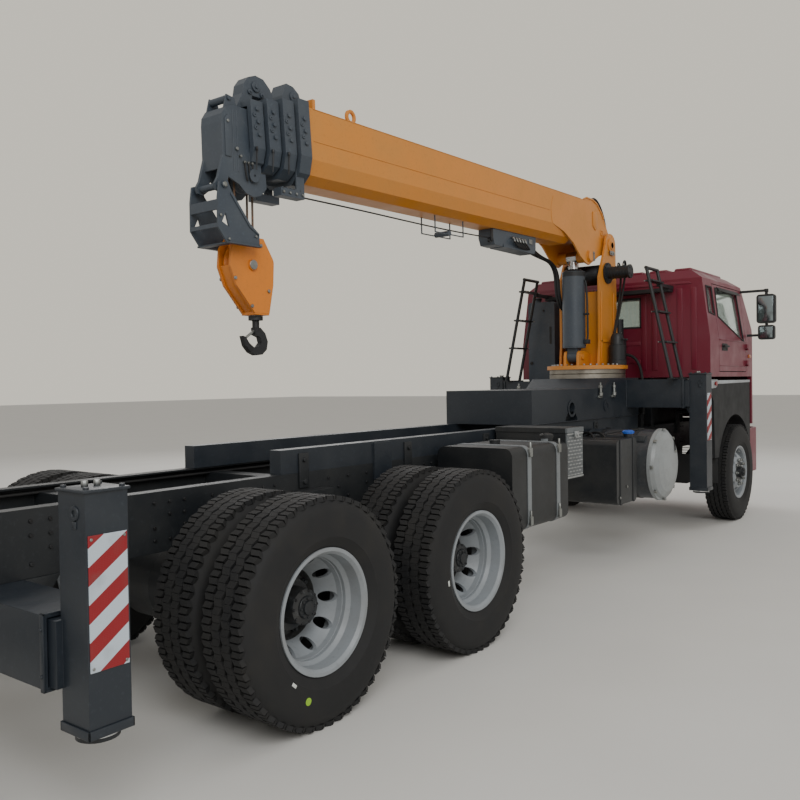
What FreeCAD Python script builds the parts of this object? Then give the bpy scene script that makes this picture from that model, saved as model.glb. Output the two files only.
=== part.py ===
import FreeCAD
import Part
import Sketcher

import math
import os

# Truck-mounted telescopic crane on a bare 6x4 chassis, boom parked over the tail.
# Frame: millimetres, +X towards the cab, +Y to the left, +Z up. The origin is on the
# ground, half way along the vehicle, on its centre plane.

SIZES = [
    # name, value, what it is
    ("overall_length", 10000, "front bumper to rear crossmember"),
    ("front_overhang", 1160, "front axle to bumper face"),
    ("wheelbase", 5700, "front axle to first drive axle"),
    ("tandem", 1350, "between the two drive axles"),
    ("tyre_radius", 545, "tread radius, and height of the axles"),
    ("tyre_width", 290, "section width"),
    ("rim_radius", 300, "over the rim flange"),
    ("rim_width", 240, "between the rim flanges"),
    ("rim_wall", 14, "thickness of the rim's barrel"),
    ("bead_gap", 0.5, "tyre bead to rim"),
    ("front_track_half", 1030, "centre plane to front tyre centre"),
    ("dual_centre", 912.5, "centre plane to the middle of a twin wheel"),
    ("dual_spacing", 345, "between the twin tyres' centres"),
    ("kingpin_y", 880, "centre plane to kingpin"),
    ("kingpin_radius", 24, "kingpin"),
    ("hub_clearance", 0.3, "rotating hub to fixed spindle"),
    ("rail_outer", 430, "centre plane to the rails' webs"),
    ("rail_bottom", 800, "height of the rails' lower flange"),
    ("rail_depth", 300, "height of the rails"),
    ("rail_flange", 80, "width of the rails' flanges"),
    ("rail_wall", 10, "thickness of the rails"),
    ("rail_setback", 260, "bumper face to the rails' front end"),
    ("crossmember_width", 120, "along the vehicle"),
    ("subframe_height", 140, "long beams on the rails"),
    ("subframe_width", 90, "width of each beam"),
    ("subframe_rear", 2260, "rear crossmember to the beams' rear end"),
    ("base_rear", 2060, "slewing axis back to the crane base's rear end"),
    ("base_front", 330, "slewing axis forward to the crane base's front end"),
    ("base_height", 300, "crane base, on the subframe"),
    ("base_half_width", 440, "crane base"),
    ("slew_x", 2280, "slewing axis, ahead of the origin"),
    ("ring_radius", 400, "slewing ring"),
    ("ring_height", 95, "slewing ring"),
    ("turntable_radius", 425, "turntable plate"),
    ("turntable_wall", 40, "turntable plate"),
    ("swivel_gap", 0.3, "running gap of the turntable on its ring"),
    ("column_half", 230, "centre plane to the column plates' outer faces"),
    ("column_wall", 25, "column plates"),
    ("pivot_dx", 120, "slewing axis forward to the boom's foot pin"),
    ("pivot_z", 3060, "height of the boom's foot pin"),
    ("foot_pin_radius", 45, "boom's foot pin"),
    ("foot_boss", 125, "radius of the column's top lugs"),
    ("pin_clearance", 0.3, "pins in their eyes"),
    ("luff_pin_dx", 310, "slewing axis back to the lift cylinder's lower pin"),
    ("luff_low_z", 1870, "height of the lift cylinder's lower pin"),
    ("luff_high_z", 2905, "height of the lift cylinder's upper pin"),
    ("luff_pin_radius", 32, "lift cylinder's pins"),
    ("barrel_radius", 118, "lift cylinder tube"),
    ("rod_radius", 50, "lift cylinder rod"),
    ("eye_width", 110, "lift cylinder's eyes"),
    ("eye_radius", 62, "lift cylinder's eyes"),
    ("boom_tilt", -1.3, "boom's parked angle, degrees, tip down"),
    ("boom_half", 180, "base section, half its width"),
    ("boom_top", 423, "base section's top above the foot pin's line"),
    ("boom_crease", 100, "lower end of its flat sides"),
    ("boom_knee", 5, "middle of its rounded underside"),
    ("boom_knee_half", 150, "half width there"),
    ("boom_floor", -45, "its underside"),
    ("boom_floor_half", 85, "half width of the underside"),
    ("boom_wall", 9, "plate of the boom sections"),
    ("boom_reach", 4600, "foot pin back to the base section's mouth"),
    ("boom_box_end", 800, "foot pin back to the end of the full section"),
    ("boom_cheek", 18, "side plates of the boom's tail"),
    ("section_gap", 14, "between nested sections"),
    ("pad_clearance", 0.5, "sliding pads to the sections"),
    ("collar_step", 112, "between the sections' collars"),
    ("collar_width", 98, "length of a collar"),
    ("collar_lip", 26, "collar beyond the section, all round"),
    ("head_half", 92, "boom head box"),
    ("head_length", 202, "boom head box beyond the last collar"),
    ("sheave_radius", 85, "boom head's lower sheave"),
    ("rope_radius", 7, "hoist rope"),
    ("block_half", 62, "hook block's cheeks"),
    ("leg_size", 170, "outrigger leg tube, square"),
    ("leg_outer", 1250, "centre plane to the legs' outer faces"),
    ("leg_wall", 10, "outrigger leg and housing plate"),
    ("front_leg_x", 2410, "front outriggers, ahead of the origin"),
    ("front_leg_top", 1665, "front legs"),
    ("front_leg_bottom", 500, "front legs"),
    ("front_box_bottom", 1330, "front outrigger housing"),
    ("rear_leg_x", -4390, "rear outriggers"),
    ("rear_leg_top", 1250, "rear legs"),
    ("rear_leg_bottom", 390, "rear legs"),
    ("rear_box_bottom", 530, "rear outrigger housing"),
    ("front_box_height", 290, "front outrigger housing"),
    ("rear_box_height", 270, "rear outrigger housing"),
    ("box_half_length", 1040, "centre plane to the housings' ends"),
    ("beam_clearance", 5, "outrigger beams in their housings"),
    ("rest_gap", 0.3, "between a sliding or standing piece and what carries it"),
    ("beam_stroke", 900, "travel of an outrigger beam"),
    ("foot_radius", 78, "jack foot plate"),
    ("foot_height", 24, "jack foot plate"),
    ("jack_radius", 52, "jack rod"),
    ("cab_rear_x", 2890, "cab's rear wall, ahead of the origin"),
    ("cab_front_x", 4800, "cab's front panel"),
    ("cab_half", 1120, "half width of the cab"),
    ("cab_roof_half", 1035, "half width at the roof's edge"),
    ("cab_floor", 1640, "underside of the cab"),
    ("cab_nose_bottom", 1070, "lower edge of the front panel"),
    ("cab_top", 2800, "roof"),
    ("cab_wall", 50, "cab walls and doors"),
    ("tilt_pin_x", 4680, "cab's tilt pin, ahead of the origin"),
    ("tilt_pin_height", 30, "above the front panel's lower edge"),
    ("tilt_pin_radius", 25, "cab's tilt pin"),
    ("tow_bore_radius", 20, "rear towing jaw"),
    ("tow_bore_setback", 30, "rear crossmember's face to the bore's centre"),
    ("tow_jaw_height", 60, "rear towing jaw"),
    ("door_rear_x", 3200, "door's rear edge"),
    ("door_front_x", 4240, "door's front edge"),
    ("door_top", 2650, "door"),
    ("door_bottom", 1700, "door"),
    ("hinge_out", 17, "door hinges' pins, outside the cab's side"),
    ("door_gap", 8, "all round the doors"),
    ("glass_wall", 6, "window panes"),
    ("arch_radius", 660, "front wheel arches"),
]

doc = FreeCAD.newDocument("TruckCrane")
sheet = doc.addObject("Spreadsheet::Sheet", "dims")
for row, (name, number, meaning) in enumerate(SIZES, start=1):
    sheet.set(f"A{row}", name)
    sheet.set(f"B{row}", str(number))
    sheet.set(f"C{row}", meaning)
    sheet.setAlias(f"B{row}", name)
doc.recompute()


class Size:
    """A length that knows both its number and how the sheet works it out."""

    def __init__(self, value, text):
        self.value = float(value)
        self.text = text

    def __add__(self, other):
        other = size(other)
        return Size(self.value + other.value, f"({self.text} + {other.text})")

    def __sub__(self, other):
        other = size(other)
        return Size(self.value - other.value, f"({self.text} - {other.text})")

    def __mul__(self, other):
        other = size(other)
        return Size(self.value * other.value, f"({self.text} * {other.text})")

    def __truediv__(self, other):
        other = size(other)
        return Size(self.value / other.value, f"({self.text} / {other.text})")

    def __radd__(self, other):
        return size(other) + self

    def __rsub__(self, other):
        return size(other) - self

    def __rmul__(self, other):
        return size(other) * self

    def __neg__(self):
        return Size(-self.value, f"(0 - {self.text})")

    def __float__(self):
        return self.value


def size(number):
    return number if isinstance(number, Size) else Size(number, repr(float(number)))


class Sizes:
    """The sheet's cells by name."""

    def __init__(self):
        for name, number, meaning in SIZES:
            setattr(self, name, Size(number, f"dims.{name}"))


s = Sizes()
nodes = {}
serial = {}


def fresh(stem):
    serial[stem] = serial.get(stem, 0) + 1
    return f"{stem}_{serial[stem]}"


def place(thing, x=0, y=0, z=0, turn=None):
    """Puts a piece at a point; turn is (axis, angle in degrees)."""
    if turn is not None:
        axis, angle = turn
        thing.Placement = FreeCAD.Placement(FreeCAD.Vector(),
                                            FreeCAD.Rotation(FreeCAD.Vector(*axis), float(angle)))
        if isinstance(angle, Size):
            thing.setExpression("Placement.Rotation.Angle", angle.text)
    for name, number in (("x", x), ("y", y), ("z", z)):
        thing.setExpression(f"Placement.Base.{name}", size(number).text)
    return thing


def block(x, y, z, stem="block"):
    """A box from three (low, high) pairs."""
    thing = doc.addObject("Part::Box", fresh(stem))
    for side, pair in (("Length", x), ("Width", y), ("Height", z)):
        thing.setExpression(side, (size(pair[1]) - size(pair[0])).text)
    return place(thing, x[0], y[0], z[0])


TURNS = {"X": ((0, 1, 0), 90), "Y": ((1, 0, 0), -90), "Z": None}


def rod(axis, start, radius, length, stem="rod"):
    """A cylinder from a point along +X, +Y or +Z."""
    thing = doc.addObject("Part::Cylinder", fresh(stem))
    thing.setExpression("Radius", size(radius).text)
    thing.setExpression("Height", size(length).text)
    return place(thing, *start, turn=TURNS[axis])


def outline(sketch, points):
    """A closed run of lines, each corner held by its distances from the origin."""
    first = sketch.GeometryCount
    count = len(points)
    flat = [(float(a), float(b)) for a, b in points]
    for i in range(count):
        start = FreeCAD.Vector(*flat[i], 0)
        end = FreeCAD.Vector(*flat[(i + 1) % count], 0)
        sketch.addGeometry(Part.LineSegment(start, end), False)
    for i in range(count):
        sketch.addConstraint(Sketcher.Constraint("Coincident", first + i, 2, first + (i + 1) % count, 1))
    for i, (a, b) in enumerate(points):
        for kind, number in (("DistanceX", size(a)), ("DistanceY", size(b))):
            rule = sketch.addConstraint(Sketcher.Constraint(kind, -1, 1, first + i, 1, number.value))
            sketch.setExpression(f"Constraints[{rule}]", number.text)


def circle(sketch, a, b, radius):
    a, b, radius = size(a), size(b), size(radius)
    index = sketch.addGeometry(
        Part.Circle(FreeCAD.Vector(a.value, b.value, 0), FreeCAD.Vector(0, 0, 1), radius.value), False)
    for rule in (
        (Sketcher.Constraint("DistanceX", -1, 1, index, 3, a.value), a),
        (Sketcher.Constraint("DistanceY", -1, 1, index, 3, b.value), b),
        (Sketcher.Constraint("Radius", index, radius.value), radius),
    ):
        number = sketch.addConstraint(rule[0])
        sketch.setExpression(f"Constraints[{number}]", rule[1].text)


def sketch_in(body, plane):
    sketch = body.newObject("Sketcher::SketchObject", fresh("profile"))
    origin = [item for item in body.Origin.OriginFeatures if item.Role == plane][0]
    sketch.AttachmentSupport = [(origin, "")]
    sketch.MapMode = "FlatFace"
    return sketch


PLANES = {
    # plane: (its role, the axis it is thickened along, the end it grows from)
    "XZ": ("XZ_Plane", 1, 1),
    "YZ": ("YZ_Plane", 0, 0),
    "XY": ("XY_Plane", 2, 0),
}


def plate(plane, span, points, windows=(), holes=(), rounds=(), at=(0, 0, 0), turn=None, stem="plate"):
    """A profile in one plane, thickened over span (low, high) on the third axis.

    windows are inner outlines, holes are (a, b, radius), rounds are (corner numbers, radius);
    corner numbers count through the outline and then through the windows.
    """
    body = doc.addObject("PartDesign::Body", fresh(stem))
    role, axis, end = PLANES[plane]
    sketch = sketch_in(body, role)
    outline(sketch, points)
    for window in windows:
        outline(sketch, window)
    for a, b, radius in holes:
        circle(sketch, a, b, radius)
    pad = body.newObject("PartDesign::Pad", fresh("pad"))
    pad.Profile = sketch
    pad.setExpression("Length", (size(span[1]) - size(span[0])).text)
    sketch.Visibility = False
    base = [size(number) for number in at]
    base[axis] = base[axis] + size(span[end])
    if rounds:
        doc.recompute()
        corners = list(points) + [corner for window in windows for corner in window]
        for numbers, radius in rounds:
            last = body.Tip
            edges = [edge_at(last.Shape, axis, corners[number]) for number in numbers]
            fillet = body.newObject("PartDesign::Fillet", fresh("fillet"))
            fillet.Base = (last, edges)
            fillet.setExpression("Radius", size(radius).text)
            doc.recompute()
    return place(body, *base, turn=turn)


def edge_at(shape, axis, corner):
    """The name of the straight edge that runs along an axis through a corner of the profile."""
    wanted = [float(corner[0]), float(corner[1])]
    for number, edge in enumerate(shape.Edges, start=1):
        low = edge.Vertexes[0].Point
        high = edge.Vertexes[-1].Point
        flat = [[point[i] for i in range(3) if i != axis] for point in (low, high)]
        if all(abs(flat[k][i] - wanted[i]) < 0.01 for k in (0, 1) for i in (0, 1)):
            return f"Edge{number}"
    raise ValueError(f"no edge at {wanted}")


def turned(profile, axis, start, stem="turned"):
    """Turns a profile of (along, radius) points about an axis that starts at a point."""
    body = doc.addObject("PartDesign::Body", fresh(stem))
    sketch = sketch_in(body, "XZ_Plane")
    outline(sketch, profile)
    revolution = body.newObject("PartDesign::Revolution", fresh("revolution"))
    revolution.Profile = sketch
    revolution.ReferenceAxis = (sketch, ["H_Axis"])
    revolution.Angle = 360
    sketch.Visibility = False
    spin = {"X": None, "Y": ((0, 0, 1), 90), "Z": ((0, 1, 0), -90), "-Y": ((0, 0, 1), -90)}[axis]
    return place(body, *start, turn=spin)


def join(pieces, stem="join"):
    thing = doc.addObject("Part::MultiFuse", fresh(stem))
    thing.Shapes = pieces
    thing.Refine = True
    return thing


def less(base, tools, stem="less"):
    thing = doc.addObject("Part::Cut", fresh(stem))
    thing.Base = base
    thing.Tool = tools[0] if len(tools) == 1 else join(tools)
    thing.Refine = True
    return thing


def both(first, second, stem="both"):
    thing = doc.addObject("Part::Common", fresh(stem))
    thing.Base = first
    thing.Tool = second
    thing.Refine = True
    return thing


def mirror(source, stem="mirror"):
    thing = doc.addObject("Part::Mirroring", fresh(stem))
    thing.Source = source
    thing.Normal = FreeCAD.Vector(0, 1, 0)
    return thing


def apart(pieces, stem="apart"):
    thing = doc.addObject("Part::Compound", fresh(stem))
    thing.Links = pieces
    return thing


def node(name, thing):
    thing.Label = name
    nodes[name] = thing
    return thing


SIDES = (("left", 1), ("right", -1))

# Places worked out from the sizes
front_x = s.overall_length / 2
rear_x = -front_x
steer_x = front_x - s.front_overhang
drive_x = steer_x - s.wheelbase
tail_x = drive_x - s.tandem
axle_z = s.tyre_radius
rail_top = s.rail_bottom + s.rail_depth
subframe_top = rail_top + s.subframe_height
base_top = subframe_top + s.base_height
ring_bottom = base_top + 100
ring_top = ring_bottom + s.ring_height
turntable_bottom = ring_top + s.swivel_gap
turntable_top = turntable_bottom + s.turntable_wall
pivot_x = s.slew_x + s.pivot_dx
luff_x = s.slew_x - s.luff_pin_dx


def chassis_frame():
    """Two channel rails joined by channel crossmembers, with the rear underrun bar."""
    outer = s.rail_outer
    inner = outer - s.rail_flange
    low = s.rail_bottom
    wall = s.rail_wall
    front = front_x - s.rail_setback
    rail = plate("YZ", (rear_x, front), [
        (outer, low), (outer, rail_top), (inner, rail_top), (inner, rail_top - wall),
        (outer - wall, rail_top - wall), (outer - wall, low + wall), (inner, low + wall), (inner, low),
    ], stem="rail")
    pieces = [rail, mirror(rail)]
    depth = 220
    web = outer - wall
    for place_x in (rear_x + 60, s.rear_leg_x + 700, tail_x + s.tandem / 2, drive_x + 1000, 450, 1500,
                    front - 80):
        low_x = place_x - s.crossmember_width / 2
        high_x = place_x + s.crossmember_width / 2
        top = rail_top - wall - 28
        bottom = top - depth
        pieces.append(plate("XZ", (-web, web), [
            (low_x, bottom), (low_x, top), (high_x, top), (high_x, top - wall),
            (low_x + wall, top - wall), (low_x + wall, bottom + wall), (high_x, bottom + wall),
            (high_x, bottom),
        ], stem="crossmember"))
    bar_low = 430
    bar_high = 550
    bar_x = rear_x + 60
    pieces.append(block((bar_x, bar_x + 80), (-1130, 1130), (bar_low, bar_high), stem="underrun_bar"))
    for name, side in SIDES:
        y = (inner + 10, outer - 10) if side > 0 else (-(outer - 10), -(inner + 10))
        pieces.append(block((bar_x, bar_x + 80), y, (bar_high - 10, low + 5), stem="underrun_hanger"))
        y = (inner, outer) if side > 0 else (-outer, -inner)
        pieces.append(block((3010, 3080), y, (rail_top - 5, s.cab_floor - 1), stem="cab_post"))
    pieces.append(block((3010, 3080), (-outer, outer), (s.cab_floor - 61, s.cab_floor - 1), stem="cab_rest"))
    tilt_z = s.cab_nose_bottom + s.tilt_pin_height
    pieces.append(rod("Y", (s.tilt_pin_x, -(outer + 45), tilt_z), s.tilt_pin_radius, (outer + 45) * 2,
                      stem="tilt_pin"))
    pieces.append(block((rear_x, rear_x + 110), (-60, 60), (low, low + s.tow_jaw_height), stem="tow_jaw"))
    bore = rod("Z", (rear_x + s.tow_bore_setback, 0, low - 5), s.tow_bore_radius, s.tow_jaw_height + 10,
               stem="tow_bore")
    node("chassis_frame", less(join(pieces), [bore]))


def crane_base():
    """Long beams on the rails, and the box on them that carries the slewing ring."""
    outer = s.rail_outer
    inner = outer - s.subframe_width
    beam_rear = rear_x + s.subframe_rear
    base_low = s.slew_x - s.base_rear
    base_high = s.slew_x + s.base_front
    beam = plate("YZ", (beam_rear, base_high), [
        (inner, rail_top), (outer, rail_top), (outer, subframe_top), (inner, subframe_top)], stem="beam")
    saddle = block((beam_rear + 830, beam_rear + 1010), (outer, outer + 14),
                   (rail_top - 110, subframe_top - 10), stem="saddle")
    half = s.base_half_width
    box = plate("XZ", (-half, half), [
        (base_low, subframe_top), (base_high, subframe_top), (base_high, base_top + 100),
        (s.slew_x - 420, base_top + 100), (s.slew_x - 560, base_top), (base_low, base_top),
    ], holes=[(base_low + 760, subframe_top + 120, 55)], stem="base_box")
    notch = rod("Y", (base_low + 760, -half - 5, subframe_top - 30), 130, half * 2 + 10, stem="notch")
    housing = outrigger_housing(s.front_leg_x, s.front_box_bottom, s.front_box_height)
    body = less(join([box, *housing[0]]), [notch, *housing[1]])
    node("crane_base", join([beam, mirror(beam), saddle, mirror(saddle), body]))


def outrigger_housing(x, bottom, height):
    """A square tube across the vehicle, and the space in it for the two beams."""
    half = (s.leg_size + 80) / 2
    wall = s.leg_wall
    end = s.box_half_length
    tube = block((x - half, x + half), (-end, end), (bottom, bottom + height), stem="housing")
    space = block((x - half + wall, x + half - wall), (-end - 5, end + 5),
                  (bottom + wall, bottom + height - wall), stem="housing_space")
    return [tube], [space]


def rear_housing():
    tube, space = outrigger_housing(s.rear_leg_x, s.rear_box_bottom, s.rear_box_height)
    node("rear_outrigger_housing", less(tube[0], space))


def outriggers():
    """Each side's beam with its leg tube, and the jack inside the leg."""
    table = [
        # name, leg x, box bottom, box height, leg top, leg bottom
        ("front", s.front_leg_x, s.front_box_bottom, s.front_box_height, s.front_leg_top, s.front_leg_bottom),
        ("rear", s.rear_leg_x, s.rear_box_bottom, s.rear_box_height, s.rear_leg_top, s.rear_leg_bottom),
    ]
    for end, x, box_bottom, box_height, leg_top, leg_bottom in table:
        for name, side in SIDES:
            half = s.leg_size / 2
            wall = s.leg_wall
            gap = s.beam_clearance
            space = (s.leg_size + 80) / 2 - wall
            # The left beam runs in the front half of the housing, the right one in the rear half
            low_x = x + gap / 2 if side > 0 else x - space + gap
            high_x = x + space - gap if side > 0 else x - gap / 2
            low_z = box_bottom + wall + s.rest_gap
            high_z = box_bottom + box_height - wall - gap
            leg_outer = s.leg_outer
            leg_inner = leg_outer - s.leg_size
            far = s.box_half_length - 140
            y = (-far, leg_inner + wall) if side > 0 else (-(leg_inner + wall), far)
            beam = block((low_x, high_x), y, (low_z, high_z), stem="beam")
            leg_y = (leg_inner, leg_outer) if side > 0 else (-leg_outer, -leg_inner)
            leg = block((x - half, x + half), leg_y, (leg_bottom, leg_top), stem="leg")
            middle = (leg_outer + leg_inner) / 2 * side
            bore = rod("Z", (x, middle, leg_bottom - 5), s.jack_radius + s.rest_gap,
                       leg_top - leg_bottom - 30, stem="jack_bore")
            node(f"outrigger_{end}_{name}", less(join([beam, leg]), [bore]))
            jack = rod("Z", (x, middle, leg_bottom - 10), s.jack_radius, leg_top - leg_bottom - 60,
                       stem="jack_rod")
            foot = rod("Z", (x, middle, leg_bottom - 5 - s.foot_height), s.foot_radius, s.foot_height,
                       stem="jack_foot")
            node(f"jack_{end}_{name}", join([jack, foot]))


def front_axle():
    """Forged drop beam with the eyes for its kingpins, on two leaf springs."""
    eye_y = s.kingpin_y
    low = axle_z - 105
    high = axle_z - 25
    half = eye_y - 45
    beam = plate("YZ", (steer_x - 50, steer_x + 50), [
        (-half, low), (-700, low), (-560, low - 60), (560, low - 60), (700, low), (half, low),
        (half, high), (690, high), (550, high - 50), (-550, high - 50), (-690, high), (-half, high),
    ], stem="axle_beam")
    pieces = [beam]
    bores = []
    for name, side in SIDES:
        pieces.append(rod("Z", (steer_x, eye_y * side, low), 50, high - low, stem="kingpin_eye"))
        bores.append(rod("Z", (steer_x, eye_y * side, low - 5), s.kingpin_radius + s.pin_clearance,
                         high - low + 10, stem="kingpin_bore"))
        y = (s.rail_outer - 80, s.rail_outer - 5) if side > 0 else (-(s.rail_outer - 5), -(s.rail_outer - 80))
        seat = high - 50
        pieces.append(block((steer_x - 60, steer_x + 60), y, (seat - 5, seat + 60), stem="spring_seat"))
        pieces.append(plate("XZ", y, [
            (steer_x - 760, s.rail_bottom - 70), (steer_x - 300, seat + 85), (steer_x, seat + 55),
            (steer_x + 300, seat + 85),
            (steer_x + 760, s.rail_bottom - 70), (steer_x + 760, s.rail_bottom - 40),
            (steer_x + 300, seat + 130),
            (steer_x, seat + 150), (steer_x - 300, seat + 130), (steer_x - 760, s.rail_bottom - 40),
        ], stem="leaf_spring"))
        for end in (-1, 1):
            middle = steer_x + 760 * end
            pieces.append(block((middle - 45, middle + 45), y, (s.rail_bottom - 85, s.rail_bottom),
                                stem="spring_hanger"))
    node("front_axle", less(join(pieces), bores))


def knuckles():
    """Forked knuckles: two arms over and under the beam's eye, the kingpin and the spindle."""
    low = axle_z - 105
    high = axle_z - 25
    for name, side in SIDES:
        eye = s.kingpin_y
        arm_y = (eye - 50, eye + 56) if side > 0 else (-(eye + 56), -(eye - 50))
        back_y = (eye + 55, eye + 90) if side > 0 else (-(eye + 90), -(eye + 55))
        upper = block((steer_x - 50, steer_x + 50), arm_y, (high + 2, high + 72), stem="upper_arm")
        lower = block((steer_x - 50, steer_x + 50), arm_y, (low - 62, low - 2), stem="lower_arm")
        back = block((steer_x - 60, steer_x + 60), back_y, (low - 62, high + 72), stem="knuckle_back")
        pin = rod("Z", (steer_x, eye * side, low - 50), s.kingpin_radius, high - low + 110, stem="kingpin")
        start = (eye + 85) if side > 0 else -(eye + 85 + 150)
        spindle = rod("Y", (steer_x, start, axle_z), 42, 150, stem="spindle")
        node(f"knuckle_{name}", join([upper, lower, back, pin, spindle]))


def rear_axles():
    """Two banjo axles under a pair of inverted leaf springs on a trunnion."""
    pieces = []
    end = s.dual_centre - 60
    middle_x = tail_x + s.tandem / 2
    for x in (drive_x, tail_x):
        pieces.append(turned([
            (-end, 0), (-end, 75), (-340, 75), (-250, 150), (-120, 215), (120, 215), (250, 150), (340, 75),
            (end, 75), (end, 0),
        ], "Y", (x, 0, axle_z), stem="axle_housing"))
        pieces.append(rod("X", (x, 0, axle_z + 60), 95, 330, stem="differential_nose"))
        pieces.append(rod("Y", (x, -end - 150, axle_z), 55, end * 2 + 300, stem="spindles"))
    for name, side in SIDES:
        outer = s.rail_outer
        y = (outer + 12, outer + 92) if side > 0 else (-(outer + 92), -(outer + 12))
        top = axle_z + 75
        reach = s.tandem / 2
        for x in (drive_x, tail_x):
            pieces.append(block((x - 60, x + 60), y, (top - 25, top + 35), stem="spring_pad"))
        pieces.append(plate("XZ", y, [
            (middle_x - reach - 60, top + 30), (middle_x - 150, top + 75), (middle_x + 150, top + 75),
            (middle_x + reach + 60, top + 30),
            (middle_x + reach + 60, top + 75), (middle_x + 320, top + 160), (middle_x + 150, top + 215),
            (middle_x - 150, top + 215), (middle_x - 320, top + 160), (middle_x - reach - 60, top + 75),
        ], stem="bogie_spring"))
        pieces.append(plate("XZ", (y[0] - 12, y[1] - 8), [
            (middle_x - 95, top + 80), (middle_x - 70, axle_z - 60), (middle_x + 70, axle_z - 60),
            (middle_x + 95, top + 80),
            (middle_x + 130, s.rail_bottom + 200), (middle_x - 130, s.rail_bottom + 200),
        ], stem="trunnion_bracket"))
    pieces.append(rod("Y", (middle_x, -(s.rail_outer + 70), axle_z - 40), 48, (s.rail_outer + 70) * 2,
                      stem="trunnion_tube"))
    node("rear_axles", join(pieces))


def driveline():
    """Engine and gearbox as plain masses, and the shafts to the drive axles."""
    engine = plate("XZ", (-300, 300), [
        (steer_x - 560, 640), (steer_x + 560, 640), (steer_x + 600, 900), (steer_x + 600, 1420),
        (steer_x + 480, 1540),
        (steer_x - 480, 1540), (steer_x - 560, 1420)], stem="engine")
    gearbox_rear = steer_x - 1500
    gearbox = plate("XZ", (-210, 210), [
        (steer_x - 555, 660), (steer_x - 555, 1060), (steer_x - 900, 1020), (gearbox_rear, 900),
        (gearbox_rear, 700), (steer_x - 900, 640)], stem="gearbox")
    nose_x = drive_x + 333
    run = gearbox_rear - nose_x
    drop = 150
    slope = math.degrees(math.atan2(drop, run.value))
    long_shaft = doc.addObject("Part::Cylinder", fresh("shaft"))
    long_shaft.Radius = 55
    long_shaft.setExpression("Height", f"sqrt(({run.text}) ^ 2 + {drop} ^ 2)")
    place(long_shaft, nose_x, 0, axle_z + 60, turn=((0, 1, 0), 90 - slope))
    short_shaft = rod("X", (tail_x + 330 + s.rest_gap, 0, axle_z + 60), 45, s.tandem - 330 - 216,
                      stem="shaft")
    node("driveline", apart([join([engine, gearbox, long_shaft]), short_shaft]))


def tyre_profile(middle):
    """One tyre's section as (along the axle, radius), closed through its beads."""
    half = s.tyre_width / 2
    seat = s.rim_width / 2 - 12 - s.bead_gap
    bead = s.rim_radius - 18 + s.bead_gap
    tread = s.tyre_radius
    right = [(seat, bead), (seat, bead + 22), (half - 8, bead + 75), (half, bead + 125),
             (half - 12, tread - 50),
             (half - 38, tread - 8), (half - 48, tread)]
    left = [(-a, r) for a, r in reversed(right)]
    inside = [(-(seat - 26), bead), (-(half - 28), bead + 100), (-(half - 60), tread - 40),
              (half - 60, tread - 40), (half - 28, bead + 100), (seat - 26, bead)]
    return [(middle + a, r) for a, r in right + left + inside]


def rim_profile(middle):
    """The rim's drop-centre barrel."""
    half = s.rim_width / 2
    flange = s.rim_radius
    seat = flange - 18
    wall = s.rim_wall
    outside = [(-half, flange), (-(half - 12), flange), (-(half - 12), seat), (-45, seat - 5),
               (-25, seat - 22),
               (25, seat - 22), (45, seat - 5), (half - 12, seat), (half - 12, flange), (half, flange)]
    inside = [(half, seat), (half - 16, seat - wall), (40, seat - wall - 5), (20, seat - wall - 22),
              (-20, seat - wall - 22), (-40, seat - wall - 5), (-(half - 16), seat - wall), (-half, seat)]
    return [(middle + a, r) for a, r in outside + inside]


HAND_HOLES = 10


def hand_holes(x, y, pitch, radius, length):
    tools = []
    for i in range(HAND_HOLES):
        angle = 2 * math.pi * i / HAND_HOLES
        tools.append(rod("Y", (x + pitch * math.cos(angle), y, axle_z + pitch * math.sin(angle)), radius,
                         length, stem="hand_hole"))
    return tools


def front_wheels():
    for name, side in SIDES:
        axis = "Y" if side > 0 else "-Y"
        start = (steer_x, s.front_track_half * side, axle_z)
        node(f"tyre_front_{name}", turned(tyre_profile(size(0)), axis, start, stem="tyre"))
        barrel = turned(rim_profile(size(0)), axis, start, stem="barrel")
        seat = s.rim_radius - 18
        disc = turned([
            (0, seat - 26), (20, seat - 26), (70, 225), (112, 175), (112, 60), (98, 60), (98, 168),
            (58, 214), (0, seat - 38),
        ], axis, start, stem="disc")
        inner = s.kingpin_y + 90 + 12 - s.front_track_half
        bore = 42 + s.hub_clearance
        reach = s.kingpin_y + 85 + 150 - s.front_track_half
        hub = turned([
            (inner, bore), (inner, 105), (60, 105), (99, 120), (99, 68), (150, 62), (158, 40), (158, 0),
            (140, 0),
            (140, 40), (reach + 5, bore),
        ], axis, start, stem="hub")
        y = s.front_track_half - 20 if side > 0 else -(s.front_track_half + 140)
        node(f"rim_front_{name}", less(join([barrel, disc, hub]), hand_holes(steer_x, y, 208, 27, 160)))


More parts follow.
